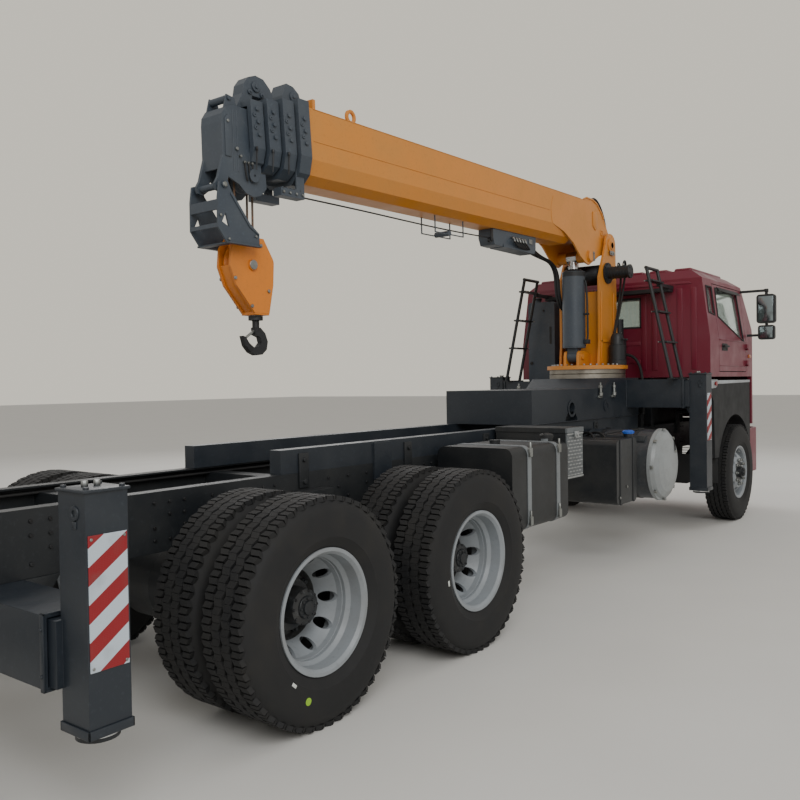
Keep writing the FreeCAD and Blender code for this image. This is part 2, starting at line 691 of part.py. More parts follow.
def rear_wheels():
    for end, x in (("drive", drive_x), ("tail", tail_x)):
        for name, side in SIDES:
            axis = "Y" if side > 0 else "-Y"
            start = (x, s.dual_centre * side, axle_z)
            shift = s.dual_spacing / 2
            tyres = [turned(tyre_profile(shift * way), axis, start, stem="tyre") for way in (1, -1)]
            node(f"tyres_{end}_{name}", apart(tyres))
            pieces = [turned(rim_profile(shift * way), axis, start, stem="barrel") for way in (1, -1)]
            seat = s.rim_radius - 18
            for way in (1, -1):
                pieces.append(turned([
                    (0, 60), (0, 175), (shift * way - 22 * way, seat - 26), (shift * way, seat - 26),
                    (shift * way, seat - 40), (shift * way - 30 * way, seat - 44), (14 * way, 158),
                    (14 * way, 60),
                ], axis, start, stem="disc"))
            bore = 55 + s.hub_clearance
            pieces.append(turned([
                (-45, bore), (-45, 190), (-20, 190), (-14, 125), (60, 125), (66, 92), (150, 86), (160, 60),
                (160, 0),
                (110, 0), (110, 50), (95, bore),
            ], axis, start, stem="hub"))
            y = s.dual_centre - shift - 10 if side > 0 else -(s.dual_centre + shift + 10)
            node(f"rims_{end}_{name}", less(join(pieces), hand_holes(x, y, 212, 27, s.dual_spacing + 20)))


def side_gear():
    """What hangs on the rails: tanks, boxes and the exhaust drum."""
    edge = s.rail_outer
    low = 600
    high = 1170
    tank_outer = 1100
    tank_rear = drive_x + s.tyre_radius + 40
    tank_front = tank_rear + 820
    tank = plate("YZ", (tank_rear, tank_front), [
        (-tank_outer, low), (-(edge + 70), low), (-(edge + 70), high), (-tank_outer, high)],
        rounds=[((0, 1, 2, 3), 60)], stem="tank")
    pieces = [tank]
    for x in (tank_rear + 230, tank_front - 160):
        strap = plate("YZ", (x - 25, x + 25), [
            (-(tank_outer + 5), low - 5), (-(edge + 65), low - 5), (-(edge + 65), high + 5),
            (-(tank_outer + 5), high + 5)],
            rounds=[((0, 1, 2, 3), 64)], stem="strap")
        pieces.append(strap)
        pieces.append(block((x - 30, x + 30), (-(edge + 75), -edge), (low + 30, rail_top - 20),
                            stem="tank_bracket"))
    pieces.append(rod("Z", (tank_front - 100, -(tank_outer - 120), high - 5), 45, 45, stem="filler_cap"))
    pieces.append(rod("Z", (tank_rear + 330, -(tank_outer - 330), high - 5), 38, 35, stem="sender_cap"))
    node("fuel_tank", join(pieces))

    box_rear = tank_front + 30
    box_front = box_rear + 270
    case = block((box_rear, box_front), (-1080, -(edge + 40)), (880, 1250), stem="battery_case")
    lid = block((box_rear - 6, box_front + 6), (-1086, -(edge + 34)), (1225, 1262), stem="battery_lid")
    shelf = block((box_rear, box_front), (-(edge + 45), -edge), (900, 1060), stem="battery_bracket")
    urea_rear = 540
    urea = plate("XZ", (-1060, -(edge + 60)), [
        (urea_rear, 560), (urea_rear + 440, 560), (urea_rear + 440, 1110), (urea_rear, 1110)],
        rounds=[((0, 1, 2, 3), 50)], stem="urea_tank")
    hanger = block((urea_rear + 60, urea_rear + 380), (-(edge + 65), -edge), (860, 1060), stem="urea_bracket")
    cap = rod("Z", (urea_rear + 400, -1000, 1105), 40, 45, stem="urea_cap")
    node("battery_box", apart([join([case, lid, shelf]), join([urea, hanger, cap])]))

    drum_x = 1400
    drum_z = 840
    radius = 315
    drum = turned([
        (0, 0), (0, radius), (640, radius), (640, radius + 14), (670, radius + 14), (670, radius - 5),
        (700, radius - 20), (725, radius - 70), (738, radius - 160), (742, 0)],
        "-Y", (drum_x, -(edge + 40), drum_z), stem="drum")
    cradle = plate("XZ", (-1060, -(edge + 45)), [
        (drum_x - 240, rail_top - 40), (drum_x + 240, rail_top - 40), (drum_x + 240, rail_top + 10),
        (drum_x - 240, rail_top + 10)],
        stem="cradle")
    arm = block((drum_x - 200, drum_x + 200), (-(edge + 50), -edge), (870, 1080), stem="drum_bracket")
    pipe = rod("X", (drum_x + 200, -(edge + 150), drum_z), 70, 420, stem="exhaust_pipe")
    node("exhaust_drum", join([drum, cradle, arm, pipe]))

    pieces = []
    for x, length, y in ((-1150, 620, 640), (-1150, 620, 920), (-420, 620, 640)):
        pieces.append(turned([
            (0, 0), (0, 60), (30, 118), (60, 130), (length - 60, 130), (length - 30, 118), (length, 60),
            (length, 0)],
            "X", (x, y, 820), stem="reservoir"))
    for x in (-1000, -700, -300, 80):
        outer_y = 930 if x < -500 else 650
        pieces.append(block((x - 20, x + 20), (edge, outer_y), (930, 965), stem="reservoir_bracket"))
    node("air_tanks", join(pieces))


def front_bumper():
    """Bumper with rounded corners, lamp pockets and a towing eye, on the rails' front ends."""
    half = 1090
    back = front_x - s.rail_setback
    wrap = back - 240
    outer = plate("XY", (480, 1010), [(wrap, -half), (front_x, -half), (front_x, half), (wrap, half)],
                  rounds=[((1, 2), 240)], stem="bumper_outer")
    inner = plate("XY", (500, 1030), [(wrap - 5, -half + 25), (front_x - 30, -half + 25),
                                      (front_x - 30, half - 25), (wrap - 5, half - 25)],
                  rounds=[((1, 2), 215)], stem="bumper_space")
    shell = less(outer, [inner])
    beam = block((back, front_x - 25), (-s.rail_outer - 20, s.rail_outer + 20), (790, 950),
                 stem="bumper_beam")
    pockets = []
    for name, side in SIDES:
        y = (560, 900) if side > 0 else (-900, -560)
        pockets.append(block((front_x - 40, front_x + 5), y, (640, 820), stem="lamp_pocket"))
    slot = block((front_x - 40, front_x + 5), (-420, 420), (560, 740), stem="lower_intake")
    node("front_bumper", less(join([shell, beam]), pockets + [slot]))
    lamps = []
    for name, side in SIDES:
        y = (560.3, 899.7) if side > 0 else (-899.7, -560.3)
        lamps.append(block((front_x - 32, front_x - 8), y, (640.3, 819.7), stem="head_lamp"))
        y = (760, 1060) if side > 0 else (-1060, -760)
        lamps.append(block((rear_x + 20, rear_x + 60), y, (440, 540), stem="tail_lamp"))
    node("lamps", apart(lamps))


def ladder(side):
    """Tube ladder, hoop at the top, its foot further out on the outrigger housing."""
    tube = 17
    low_z = s.front_box_bottom + s.front_box_height
    high_z = s.cab_top - 40
    low_y = 950 * side
    high_y = 700 * side
    rear = s.slew_x - 90
    front = s.slew_x + 210
    length = math.hypot(float(high_z - low_z), 250)
    lean = math.degrees(math.atan2(250, float(high_z - low_z))) * side
    foot = tube * 2
    # The leaning posts start a little up in the foot bar, so that their tilted ends stay above its underside
    lift = 5
    pieces = [block((rear - foot, front + foot), (low_y - foot, low_y + foot), (low_z, low_z + 12),
                    stem="foot_bar")]
    for x in (rear, front):
        post = doc.addObject("Part::Cylinder", fresh("post"))
        post.Radius = tube
        post.Height = length - lift
        pieces.append(place(post, x, low_y, low_z + lift, turn=((1, 0, 0), lean)))
    pieces.append(rod("X", (rear - tube, high_y, high_z), tube, front - rear + 2 * tube, stem="hoop"))
    for height in (2620, 2300, 1990):
        y = low_y + (high_y - low_y) * ((height - float(low_z)) / float(high_z - low_z))
        pieces.append(block((rear - 10, front + 10), (y - 40, y + 40), (height, height + 14), stem="tread"))
    return pieces


def ladders():
    """The two operator's ladders and the tray that ties them behind the cab."""
    tray_rear = s.slew_x + 460
    tray = plate("XZ", (-735, 735), [
        (tray_rear, 2560), (tray_rear + 130, 2560), (tray_rear + 130, 2600), (tray_rear, 2600)],
        stem="hose_tray")
    pieces = [tray]
    for name, side in SIDES:
        pieces += ladder(side)
        y = (700, 740) if side > 0 else (-740, -700)
        pieces.append(block((s.slew_x + 190, tray_rear + 130), y, (2590, 2625), stem="tray_arm"))
    node("ladders", join(pieces))


def hydraulics():
    """Tall oil tank behind the cab on the left, and the valve bank between column and cab."""
    tank_rear = s.slew_x + 350
    tank = plate("YZ", (tank_rear, tank_rear + 220), [
        (560, base_top + 60), (900, base_top + 60), (900, 2540), (560, 2540)], rounds=[((0, 1, 2, 3), 35)],
        stem="oil_tank")
    foot = block((tank_rear + 20, tank_rear + 200), (s.rail_outer - 40, 860),
                 (base_top + 20, base_top + 65), stem="oil_tank_foot")
    post = block((tank_rear + 20, tank_rear + 200), (s.rail_outer - 80, s.rail_outer),
                 (rail_top, base_top + 65), stem="oil_tank_post")
    cap = rod("Z", (tank_rear + 110, 830, 2535), 40, 40, stem="oil_tank_cap")
    node("oil_tank", join([tank, foot, post, cap]))
    bank_rear = s.slew_x + 465
    bank = block((bank_rear, bank_rear + 110), (-210, 60), (1760, 2060), stem="valve_bank")
    filter_can = rod("Z", (bank_rear + 55, -150, 2055), 48, 240, stem="filter")
    box = block((bank_rear, bank_rear + 90), (-60, 60), (2055, 2380), stem="control_box")
    stand = block((bank_rear + 10, bank_rear + 100), (-180, 30), (rail_top + 140, 1765), stem="valve_stand")
    bearer = block((bank_rear + 10, bank_rear + 100), (-s.rail_outer + 20, s.rail_outer - 95),
                   (rail_top, rail_top + 145), stem="valve_bearer")
    node("control_valve", join([bank, filter_can, box, stand, bearer]))


def slewing_ring():
    half = s.ring_height
    ring = turned([(0, 250), (0, s.ring_radius), (half * 0.45, s.ring_radius),
                   (half * 0.5, s.ring_radius - 8),
                   (half * 0.55, s.ring_radius), (half, s.ring_radius), (half, 250)],
                  "Z", (s.slew_x, 0, ring_bottom), stem="ring")
    node("slewing_ring", ring)


def column():
    """Turntable plate and the two-plate column that carries the boom's foot pin."""
    half = s.column_half
    wall = s.column_wall
    table = rod("Z", (s.slew_x, 0, turntable_bottom), s.turntable_radius, s.turntable_wall, stem="turntable")
    boss = s.foot_boss
    rear = s.slew_x - 175
    front = s.slew_x + 250
    pieces = [table]
    for low, high in ((-half, -half + wall), (half - wall, half)):
        pieces.append(plate("XZ", (low, high), [
            (rear - 30, turntable_top - 5), (front + 60, turntable_top - 5),
            (front + 20, turntable_top + 500),
            (pivot_x + boss, s.pivot_z), (pivot_x + boss, s.pivot_z + boss),
            (pivot_x - boss, s.pivot_z + boss),
            (pivot_x - boss, s.pivot_z), (rear, 2700), (rear, turntable_top + 250)],
            rounds=[((4, 5), boss - 10)], stem="column_plate"))
    inner = half - wall + 1
    web_top = 2560
    pieces.append(block((s.slew_x - 95, s.slew_x - 75), (-inner, inner), (turntable_top - 5, web_top),
                        stem="rear_web"))
    pieces.append(block((s.slew_x + 150, s.slew_x + 170), (-inner, inner), (turntable_top - 5, web_top),
                        stem="front_web"))
    pieces.append(block((s.slew_x - 95, s.slew_x + 170), (-inner, inner), (web_top - 20, web_top),
                        stem="column_lid"))
    lugs = s.eye_width / 2 + 3
    for low, high in ((-lugs - 30, -lugs), (lugs, lugs + 30)):
        pieces.append(plate("XZ", (low, high), [
            (luff_x - 75, turntable_top - 5), (s.slew_x - 90, turntable_top - 5),
            (s.slew_x - 90, s.luff_low_z + 20),
            (luff_x + 60, s.luff_low_z + 60), (luff_x - 60, s.luff_low_z + 60), (luff_x - 75, s.luff_low_z)],
            rounds=[((4,), 50)], stem="luff_lug"))
    pin = rod("Y", (luff_x, -lugs - 45, s.luff_low_z), s.luff_pin_radius, lugs * 2 + 90, stem="luff_pin")
    foot_pin = rod("Y", (pivot_x, -half - 20, s.pivot_z), s.foot_pin_radius, half * 2 + 40, stem="foot_pin")
    node("column", join(pieces + [pin, foot_pin]))


def winch():
    """Rope drum between the column plates, its motor out on the right."""
    x = s.slew_x + 20
    z = 2745
    inner = s.column_half - s.column_wall
    drum = turned([
        (-inner, 0), (-inner, 135), (-inner + 16, 135), (-inner + 16, 95), (inner - 16, 95),
        (inner - 16, 135),
        (inner, 135), (inner, 0)], "Y", (x, 0, z), stem="drum")
    outer = s.column_half
    motor = turned([
        (outer, 0), (outer, 95), (outer + 22, 95), (outer + 22, 62), (outer + 240, 62), (outer + 240, 72),
        (outer + 262, 72),
        (outer + 262, 0)], "-Y", (x, 0, z + 10), stem="motor")
    node("winch", apart([drum, motor]))


def lift_cylinder():
    """Barrel on the turntable's lugs and rod with its eye under the boom."""
    reach = s.luff_high_z - s.luff_low_z
    eye = s.eye_width / 2
    tube_low = 90
    tube_top = reach - 150
    tube = turned([
        (tube_low, 0), (tube_low, s.barrel_radius), (tube_top, s.barrel_radius),
        (tube_top, s.rod_radius + s.pin_clearance),
        (tube_low + 20, s.rod_radius + s.pin_clearance), (tube_low + 20, 0)], "Z",
        (luff_x, 0, s.luff_low_z), stem="tube")
    base_eye = rod("Y", (luff_x, -eye, s.luff_low_z), s.eye_radius, s.eye_width, stem="base_eye")
    neck = block((luff_x - 50, luff_x + 50), (-eye, eye), (s.luff_low_z + 20, s.luff_low_z + 95), stem="neck")
    bore = rod("Y", (luff_x, -eye - 5, s.luff_low_z), s.luff_pin_radius + s.pin_clearance, s.eye_width + 10,
               stem="eye_bore")
    node("lift_barrel", less(join([tube, base_eye, neck]), [bore]))
    shaft = rod("Z", (luff_x, 0, s.luff_low_z + tube_low + 30), s.rod_radius, reach - tube_low - 30 - 30,
                stem="rod")
    top_eye = rod("Y", (luff_x, -eye, s.luff_high_z), s.eye_radius, s.eye_width, stem="rod_eye")
    top_bore = rod("Y", (luff_x, -eye - 5, s.luff_high_z), s.luff_pin_radius + s.pin_clearance,
                   s.eye_width + 10, stem="rod_bore")
    node("lift_rod", less(join([shaft, top_eye]), [top_bore]))


def cos_of(angle):
    return Size(math.cos(math.radians(float(angle))), f"cos({angle.text})")


def sin_of(angle):
    return Size(math.sin(math.radians(float(angle))), f"sin({angle.text})")


def on_boom(thing):
    """Carries a piece drawn about the foot pin, boom level, to the boom's parked angle."""
    return place(thing, pivot_x, 0, s.pivot_z, turn=((0, 1, 0), s.boom_tilt))


# The lift cylinder's upper pin as the boom sees it
pin_dx = luff_x - pivot_x
pin_dz = s.luff_high_z - s.pivot_z
luff_u = pin_dx * cos_of(s.boom_tilt) - pin_dz * sin_of(s.boom_tilt)
luff_w = pin_dx * sin_of(s.boom_tilt) + pin_dz * cos_of(s.boom_tilt)

section_step = s.boom_wall + s.section_gap


def section_points(inset):
    """A boom section's outline as (across, up), inset from the base section's."""
    inset = size(inset)
    half = s.boom_half - inset
    knee = s.boom_knee_half - inset * 0.96
    floor = s.boom_floor_half - inset * 0.5
    right = [(floor, s.boom_floor + inset), (knee, s.boom_knee + inset * 0.3), (half, s.boom_crease),
             (half, s.boom_top - inset)]
    left = [(-across, up) for across, up in reversed(right)]
    return right + left


def section_tube(low, high, inset):
    """One section's hollow box as (outer solid, space inside)."""
    tube = plate("YZ", (low, high), section_points(inset), stem="section")
    space = plate("YZ", (low - 5, high + 5), section_points(inset + s.boom_wall), stem="section_space")
    return tube, space


def pads(low, outer_face, inner_face):
    """Four sliding pads in the gap between two nested sections; the faces are insets."""
    high = low + 80
    side_low = 180
    side_high = 340
    pieces = [
        block((low, high), (-50, 50), (s.boom_floor + outer_face, s.boom_floor + inner_face), stem="pad"),
        block((low, high), (-90, 90), (s.boom_top - inner_face, s.boom_top - outer_face), stem="pad"),
        block((low, high), (s.boom_half - inner_face, s.boom_half - outer_face), (side_low, side_high),
              stem="pad"),
        block((low, high), (-(s.boom_half - outer_face), -(s.boom_half - inner_face)),
              (side_low, side_high), stem="pad"),
    ]
    return pieces


def mouth_pads(low, parent):
    """Pads fixed inside a section's mouth; they end just off the section they guide."""
    return pads(low, parent * section_step + s.boom_wall - 2, (parent + 1) * section_step - s.pad_clearance)


def tail_pads(low, child):
    """Pads fixed on a section's inner end; they end just off the section round it."""
    return pads(low, (child - 1) * section_step + s.boom_wall + s.pad_clearance, child * section_step + 2)


def collar(number):
    """The stiffening collar at a section's mouth; number 0 is the base section's."""
    slant = 30
    high = -(s.boom_reach + number * s.collar_step)
    low = high - s.collar_width
    inset = number * section_step
    bottom = s.boom_floor - 40
    top = s.boom_top + 40
    full = plate("YZ", (low - slant, high + slant), section_points(inset - s.collar_lip), stem="collar")
    slanted = plate("XZ", (-(s.boom_half + 60), s.boom_half + 60), [
        (low + slant / 2, bottom), (high + slant / 2, bottom), (high - slant / 2, top),
        (low - slant / 2, top)], stem="slant")
    return both(full, slanted)


SECTION_TAILS = {1: 940, 2: 960, 3: 980}
# The tail pads sit this far towards the mouth, clear of the base section's tail cheeks
TAIL_PAD_REACH = 420


def boom_base():
    """Outer boom section, its tail cheeks with the foot eye and the lift cylinder's bosses."""
    mouth = -s.boom_reach
    end = -s.boom_box_end
    tube = plate("YZ", (mouth, end), section_points(0), stem="section")
    space = plate("YZ", (mouth - 5, end - 20), section_points(s.boom_wall), stem="section_space")
    half = s.boom_half
    pieces = [less(tube, [space])] + mouth_pads(mouth + 10, 0)
    tip = luff_w - 90
    cheek_line = [
        (end - 450, s.boom_crease), (end - 200, 45), (end + 10, -46), (luff_u - 200, luff_w - 20),
        (luff_u - 85, luff_w - 75), (luff_u - 5, tip), (luff_u + 70, luff_w - 55), (luff_u + 240, -125),
        (-60, -95), (60, -95),
        (95, 0), (70, 120), (-46, 275), (-217, 421), (-330, 450), (-480, 452), (-560, s.boom_top),
        (end - 450, s.boom_top),
    ]
    for low, high in ((-half, -half + s.boom_cheek), (half - s.boom_cheek, half)):
        pieces.append(plate("XZ", (low, high), cheek_line, stem="tail_cheek"))
    inner = half - s.boom_cheek + 2
    pieces.append(block((end - 5, -225), (-inner, inner), (s.boom_top - 9, s.boom_top), stem="tail_top"))
    pieces.append(block((end - 5, -130), (-inner, inner), (100, 110), stem="tail_floor"))
    pieces.append(plate("XZ", (-inner, inner), [
        (-225, s.boom_top), (-225, s.boom_top - 12), (-60, 262), (40, 110), (52, 114), (-50, 272)],
        stem="tail_slope"))
    reach = s.column_half - s.column_wall - 10
    pieces.append(rod("Y", (0, -reach, 0), 80, reach * 2, stem="foot_eye"))
    clear = s.eye_width / 2 + 3
    for low in (clear, -(half + 12)):
        pieces.append(rod("Y", (luff_u, low, luff_w), 62, half + 12 - clear, stem="pin_boss"))
    pieces.append(block((mouth + 125, mouth + 150), (-110, 110), (s.boom_top - 5, s.boom_top + 95),
                        stem="rope_stop"))
    bore = rod("Y", (0, -reach - 5, 0), s.foot_pin_radius + s.pin_clearance, reach * 2 + 10, stem="foot_bore")
    node("boom_base", on_boom(less(join(pieces), [bore])))


def rope_gear():
    """The base section's dark mouth collar with its rope rollers, and the gear under the boom."""
    mouth = -s.boom_reach
    ring = less(collar(0), [plate("YZ", (mouth - 200, mouth + 20), section_points(s.boom_wall),
                                  stem="mouth_space")])
    tube = plate("YZ", (mouth, mouth + 80), section_points(0), stem="mouth_seat")
    lip_top = s.boom_top + s.collar_lip
    hood = plate("XZ", (-60, 60), [
        (mouth - 110, lip_top - 5), (mouth - 100, 500), (mouth - 60, 583), (mouth, 575), (mouth + 50, 540),
        (mouth + 75, 460),
        (mouth + 75, s.boom_top + 0.5), (mouth + 20, s.boom_top + 0.5), (mouth - 10, lip_top - 5)],
        stem="roller_hood")
    pieces = [less(join([ring, hood]), [tube])]
    # The rack's two bars leave room between them for the ropes and the block when the boom is up,
    # and end just short of the guide frame's swing
    rack_end = mouth - 225
    rack_half = 150
    slot_half = s.block_half + 16
    for way in (1, -1):
        bar = sorted((slot_half * way, size(rack_half * way)), key=float)
        pieces.append(block((rack_end, mouth - 20), bar, (-160, -112), stem="hose_rack"))
        hanger = sorted(((rack_half - 12) * way, rack_half * way))
        pieces.append(block((mouth - 90, mouth - 20), hanger, (-115, 30), stem="rack_hanger"))
    front = join(pieces)
    under = s.boom_floor - 0.5
    guard = plate("XZ", (-75, 75), [
        (-2175, under), (-2180, -120), (-2150, -185), (-2020, -190), (-2005, -160), (-1990, -192),
        (-1430, -205), (-1400, -170),
        (-1395, under)], stem="hose_tray")
    hangers = []
    for x in (-3055, -2650):
        for y in (-70, 62):
            hangers.append(block((x, x + 8), (y, y + 8), (-170, under), stem="rope_hanger"))
    for y in (-70, 62):
        hangers.append(block((-3055, -2642), (y, y + 8), (-178, -170), stem="rope_bar"))
    hangers.append(rod("Y", (-2850, -70, -165), 22, 140, stem="rope_roller"))
    node("rope_gear", on_boom(apart([front, guard, join(hangers)])))


def boom_sections():
    """The three moving sections, each with its collar, and the head on the last one."""
    for number in (1, 2, 3):
        inset = number * section_step
        collar_high = -(s.boom_reach + number * s.collar_step)
        low = collar_high - s.collar_width
        high = -SECTION_TAILS[number]
        tube, space = section_tube(low + 16, high, inset)
        clear = plate("YZ", (low - 60, low + 40), section_points(inset + s.boom_wall), stem="mouth_space")
        pieces = [less(join([tube, collar(number)]), [space, clear])] + tail_pads(high - TAIL_PAD_REACH,
                                                                                  number)
        if number < 3:
            pieces += mouth_pads(low + 20, number)
            node(f"boom_section_{number + 1}", on_boom(join(pieces)))
        else:
            rope_slot = block((low - 1, low + s.collar_width + 20), (-40, 40),
                              (-60, s.boom_floor + inset - 4), stem="rope_slot")
            body = less(join(pieces), [rope_slot])
            node(f"boom_section_{number + 1}", on_boom(join([body, *boom_head(low)])))


def boom_head(rear):
    """Head plates with the lower sheave, the rounded front, the top sheave's hood and the frame's lugs."""
    front = rear - s.head_length
    half = s.head_half
    top = 328
    low = -92
    sheave_u = rear + 31
    sheave_w = -66
    side = [
        (front + 25, low), (sheave_u - 110, low - 40), (sheave_u - 60, sheave_w - 110),
        (sheave_u, sheave_w - 125), (sheave_u + 60, sheave_w - 110),
        (sheave_u + 110, sheave_w - 60), (sheave_u + 105, -40), (rear + 100, -40), (rear + 100, 30),
        (rear + 30, 60),
        (rear + 30, top), (front + 90, top), (front + 35, top - 20),
        (front + 5, top - 65), (front, top - 110), (front, low + 40),
    ]
    pieces = []
    for a, b in ((-half, -half + 12), (half - 12, half)):
        pieces.append(plate("XZ", (a, b), side, stem="head_plate"))
    front_side = [
        (front, low + 40), (front + 12, low + 40), (front + 12, top - 112), (front + 16, top - 70),
        (front + 43, top - 30),
        (front + 92, top - 12), (rear + 30, top - 12), (rear + 30, top), (front + 90, top),
        (front + 35, top - 20),
        (front + 5, top - 65), (front, top - 110)]
    pieces.append(plate("XZ", (-half + 1, half - 1), front_side, stem="head_front"))
    pieces.append(turned([
        (-30, 0), (-30, s.sheave_radius), (-20, s.sheave_radius), (-8, s.sheave_radius - 14),
        (8, s.sheave_radius - 14),
        (20, s.sheave_radius), (30, s.sheave_radius), (30, 0)], "Y", (sheave_u, 0, sheave_w), stem="sheave"))
    pieces.append(rod("Y", (sheave_u, -half - 12, sheave_w), 26, half * 2 + 24, stem="sheave_pin"))
    hood_u = rear + 143
    hood = [
        (hood_u - 130, 441), (hood_u - 118, 500), (hood_u - 80, 548), (hood_u - 20, 571),
        (hood_u + 45, 562), (hood_u + 100, 515), (hood_u + 130, 455),
        (hood_u + 130, 441), (rear + 90, 441), (rear + 80, s.boom_top - 60), (rear + 5, s.boom_top - 60),
        (rear - 40, top - 10), (rear - 60, top - 10)]
    pieces.append(plate("XZ", (-45, 45), hood, stem="sheave_hood"))
    for a, b in ((-80, -70), (70, 80)):
        pieces.append(plate("XZ", (a, b), [(front + 30, top - 30), (front + 130, top - 5),
                                           (front + 115, top + 50), (front + 55, top + 60)],
                            stem="roller_bracket"))
    pieces.append(rod("Y", (front + 70, -75, top + 38), 22, 150, stem="top_roller"))
    for a, b in ((-half, -half + 20), (half - 20, half)):
        pieces.append(plate("XZ", (a, b), [
            (front + 2, low + 120), (front + 60, low + 60), (front + 40, low - 5), (front + 20, low - 75),
            (front - 20, low - 105), (front - 55, low - 95),
            (front - 65, low - 60), (front - 40, low - 20)], stem="frame_lug"))
    pieces.append(rod("Y", (front - 29, -half - 44, low - 69), 20, half * 2 + 88, stem="frame_pin"))
    return pieces


def hanging_gear():
    """Guide frame, hook block and hook, drawn plumb below the boom head."""
    front = -(s.boom_reach + 3 * s.collar_step + s.collar_width + s.head_length)
    frame_u = front - 29
    frame_w = size(-92 - 69)
    frame_x = pivot_x + frame_u * cos_of(s.boom_tilt) + frame_w * sin_of(s.boom_tilt)
    frame_z = s.pivot_z - frame_u * sin_of(s.boom_tilt) + frame_w * cos_of(s.boom_tilt)
    sheave_u = front + s.head_length + 31
    sheave_x = pivot_x + sheave_u * cos_of(s.boom_tilt) - 66 * sin_of(s.boom_tilt)
    sheave_z = s.pivot_z - sheave_u * sin_of(s.boom_tilt) - 66 * cos_of(s.boom_tilt)
    near = s.head_half + 24
    cheek = [
        (frame_x - 48, frame_z - 80), (frame_x - 35, frame_z + 15), (frame_x + 25, frame_z + 35),
        (frame_x + 60, frame_z - 30),
        (frame_x + 200, frame_z - 200), (frame_x + 270, frame_z - 250), (frame_x + 270, frame_z - 335),
        (frame_x + 20, frame_z - 335),
        (frame_x - 48, frame_z - 250)]
    window = [(frame_x - 18, frame_z - 215), (frame_x + 35, frame_z - 240), (frame_x + 10, frame_z - 160)]
    pieces = []
    for low, high in ((-near - 12, -near), (near, near + 12)):
        pieces.append(plate("XZ", (low, high), cheek, windows=[window],
                            holes=[(frame_x, frame_z, 20 + s.pin_clearance)],
                            stem="frame_cheek"))
    pieces.append(block((frame_x - 48, frame_x - 38), (-near - 1, near + 1), (frame_z - 150, frame_z - 90),
                        stem="frame_front"))
    pieces.append(block((frame_x - 48, frame_x - 38), (-near - 1, near + 1), (frame_z - 250, frame_z - 225),
                        stem="frame_front"))
    pieces.append(block((frame_x + 20, frame_x + 60), (-near - 1, near + 1), (frame_z - 335, frame_z - 325),
                        stem="frame_foot"))
    for low, high in ((-near - 30, -near - 10), (near + 10, near + 30)):
        pieces.append(block((frame_x + 20, frame_x + 270), (low, high), (frame_z - 335, frame_z - 325),
                            stem="frame_flange"))
    node("guide_frame", join(pieces))

    block_x = frame_x + 270
    top = frame_z - 260
    cheek = [
        (block_x - 105, top), (block_x + 95, top), (block_x + 180, top - 130), (block_x + 172, top - 280),
        (block_x + 135, top - 460),
        (block_x + 15, top - 460), (block_x - 130, top - 300), (block_x - 175, top - 190),
        (block_x - 165, top - 80)]
    half = s.block_half
    pieces = []
    for low, high in ((-half, -half + 18), (half - 18, half)):
        pieces.append(plate("XZ", (low, high), cheek, rounds=[((2, 8), 60)], stem="block_cheek"))
    pieces.append(turned([
        (-32, 0), (-32, 150), (-22, 150), (-8, 128), (8, 128), (22, 150), (32, 150), (32, 0)],
        "Y", (block_x, 0, top - 170), stem="block_sheave"))
    pieces.append(rod("Y", (block_x, -half - 10, top - 170), 34, half * 2 + 20, stem="block_pin"))
    # Two pairs of rope falls: the front pair tangent to the head sheave, the rear pair ending under it,
    # far enough forward to pass the sections' collars when the boom is up
    fall_x = s.sheave_radius + s.rope_radius + s.rest_gap
    rear_fall_x = 52
    low = top - 110
    for across in (-24, 24):
        for offset, high in ((-fall_x, sheave_z), (rear_fall_x, sheave_z - s.sheave_radius + 12)):
            pieces.append(rod("Z", (sheave_x + offset, across, low), s.rope_radius, high - low,
                              stem="rope_fall"))
    shank_x = block_x + 75
    pieces.append(block((shank_x - 58, shank_x + 58), (-half + 1, half - 1), (top - 470, top - 400),
                        stem="crosshead"))
    bore = rod("Z", (shank_x, 0, top - 475), 22 + s.pin_clearance, 45, stem="shank_bore")
    node("hook_block", less(join(pieces), [bore]))

    shank = rod("Z", (shank_x, 0, top - 560), 22, 125, stem="shank")
    collar_nut = rod("Z", (shank_x, 0, top - 500), 45, 25, stem="hook_collar")
    eye_z = top - 628
    bow = plate("XZ", (-20, 20), [
        (shank_x - 22, top - 545), (shank_x + 22, top - 545), (shank_x + 62, top - 580),
        (shank_x + 82, top - 630),
        (shank_x + 72, top - 680), (shank_x + 35, top - 712), (shank_x - 15, top - 718),
        (shank_x - 62, top - 700),
        (shank_x - 100, top - 660), (shank_x - 118, top - 600), (shank_x - 98, top - 610),
        (shank_x - 70, top - 645),
        (shank_x - 35, top - 668), (shank_x + 5, top - 665), (shank_x + 30, top - 638),
        (shank_x + 20, top - 605),
        (shank_x - 22, top - 590)], stem="hook_bow")
    node("hook", join([shank, collar_nut, bow]))


def cab_side(inset, floor):
    """The cab's side outline; inset moves every edge inwards."""
    low = s.cab_floor + floor
    return [
        (s.cab_rear_x + inset, low), (s.cab_rear_x + inset, s.cab_top - 100 - inset * 0.4),
        (s.cab_rear_x + 40 + inset * 0.7, s.cab_top - 10 - inset),
        (3500, s.cab_top - inset), (4150, s.cab_top - 10 - inset),
        (4330 - inset * 0.9, s.cab_top - 100 - inset * 0.6),
        (4700 - inset * 1.1, s.cab_top - 840), (s.cab_front_x - 10 - inset, s.cab_top - 1100),
        (s.cab_front_x - inset, low),
    ]


def cab_front(inset, low):
    """The cab's outline from ahead, as (across, up)."""
    right = [
        (s.cab_half - inset, low), (s.cab_half - inset, 2050), (s.cab_roof_half - inset, s.cab_top - 100),
        (900 - inset * 0.6, s.cab_top - inset),
    ]
    left = [(-across, up) for across, up in reversed(right)]
    return right + left


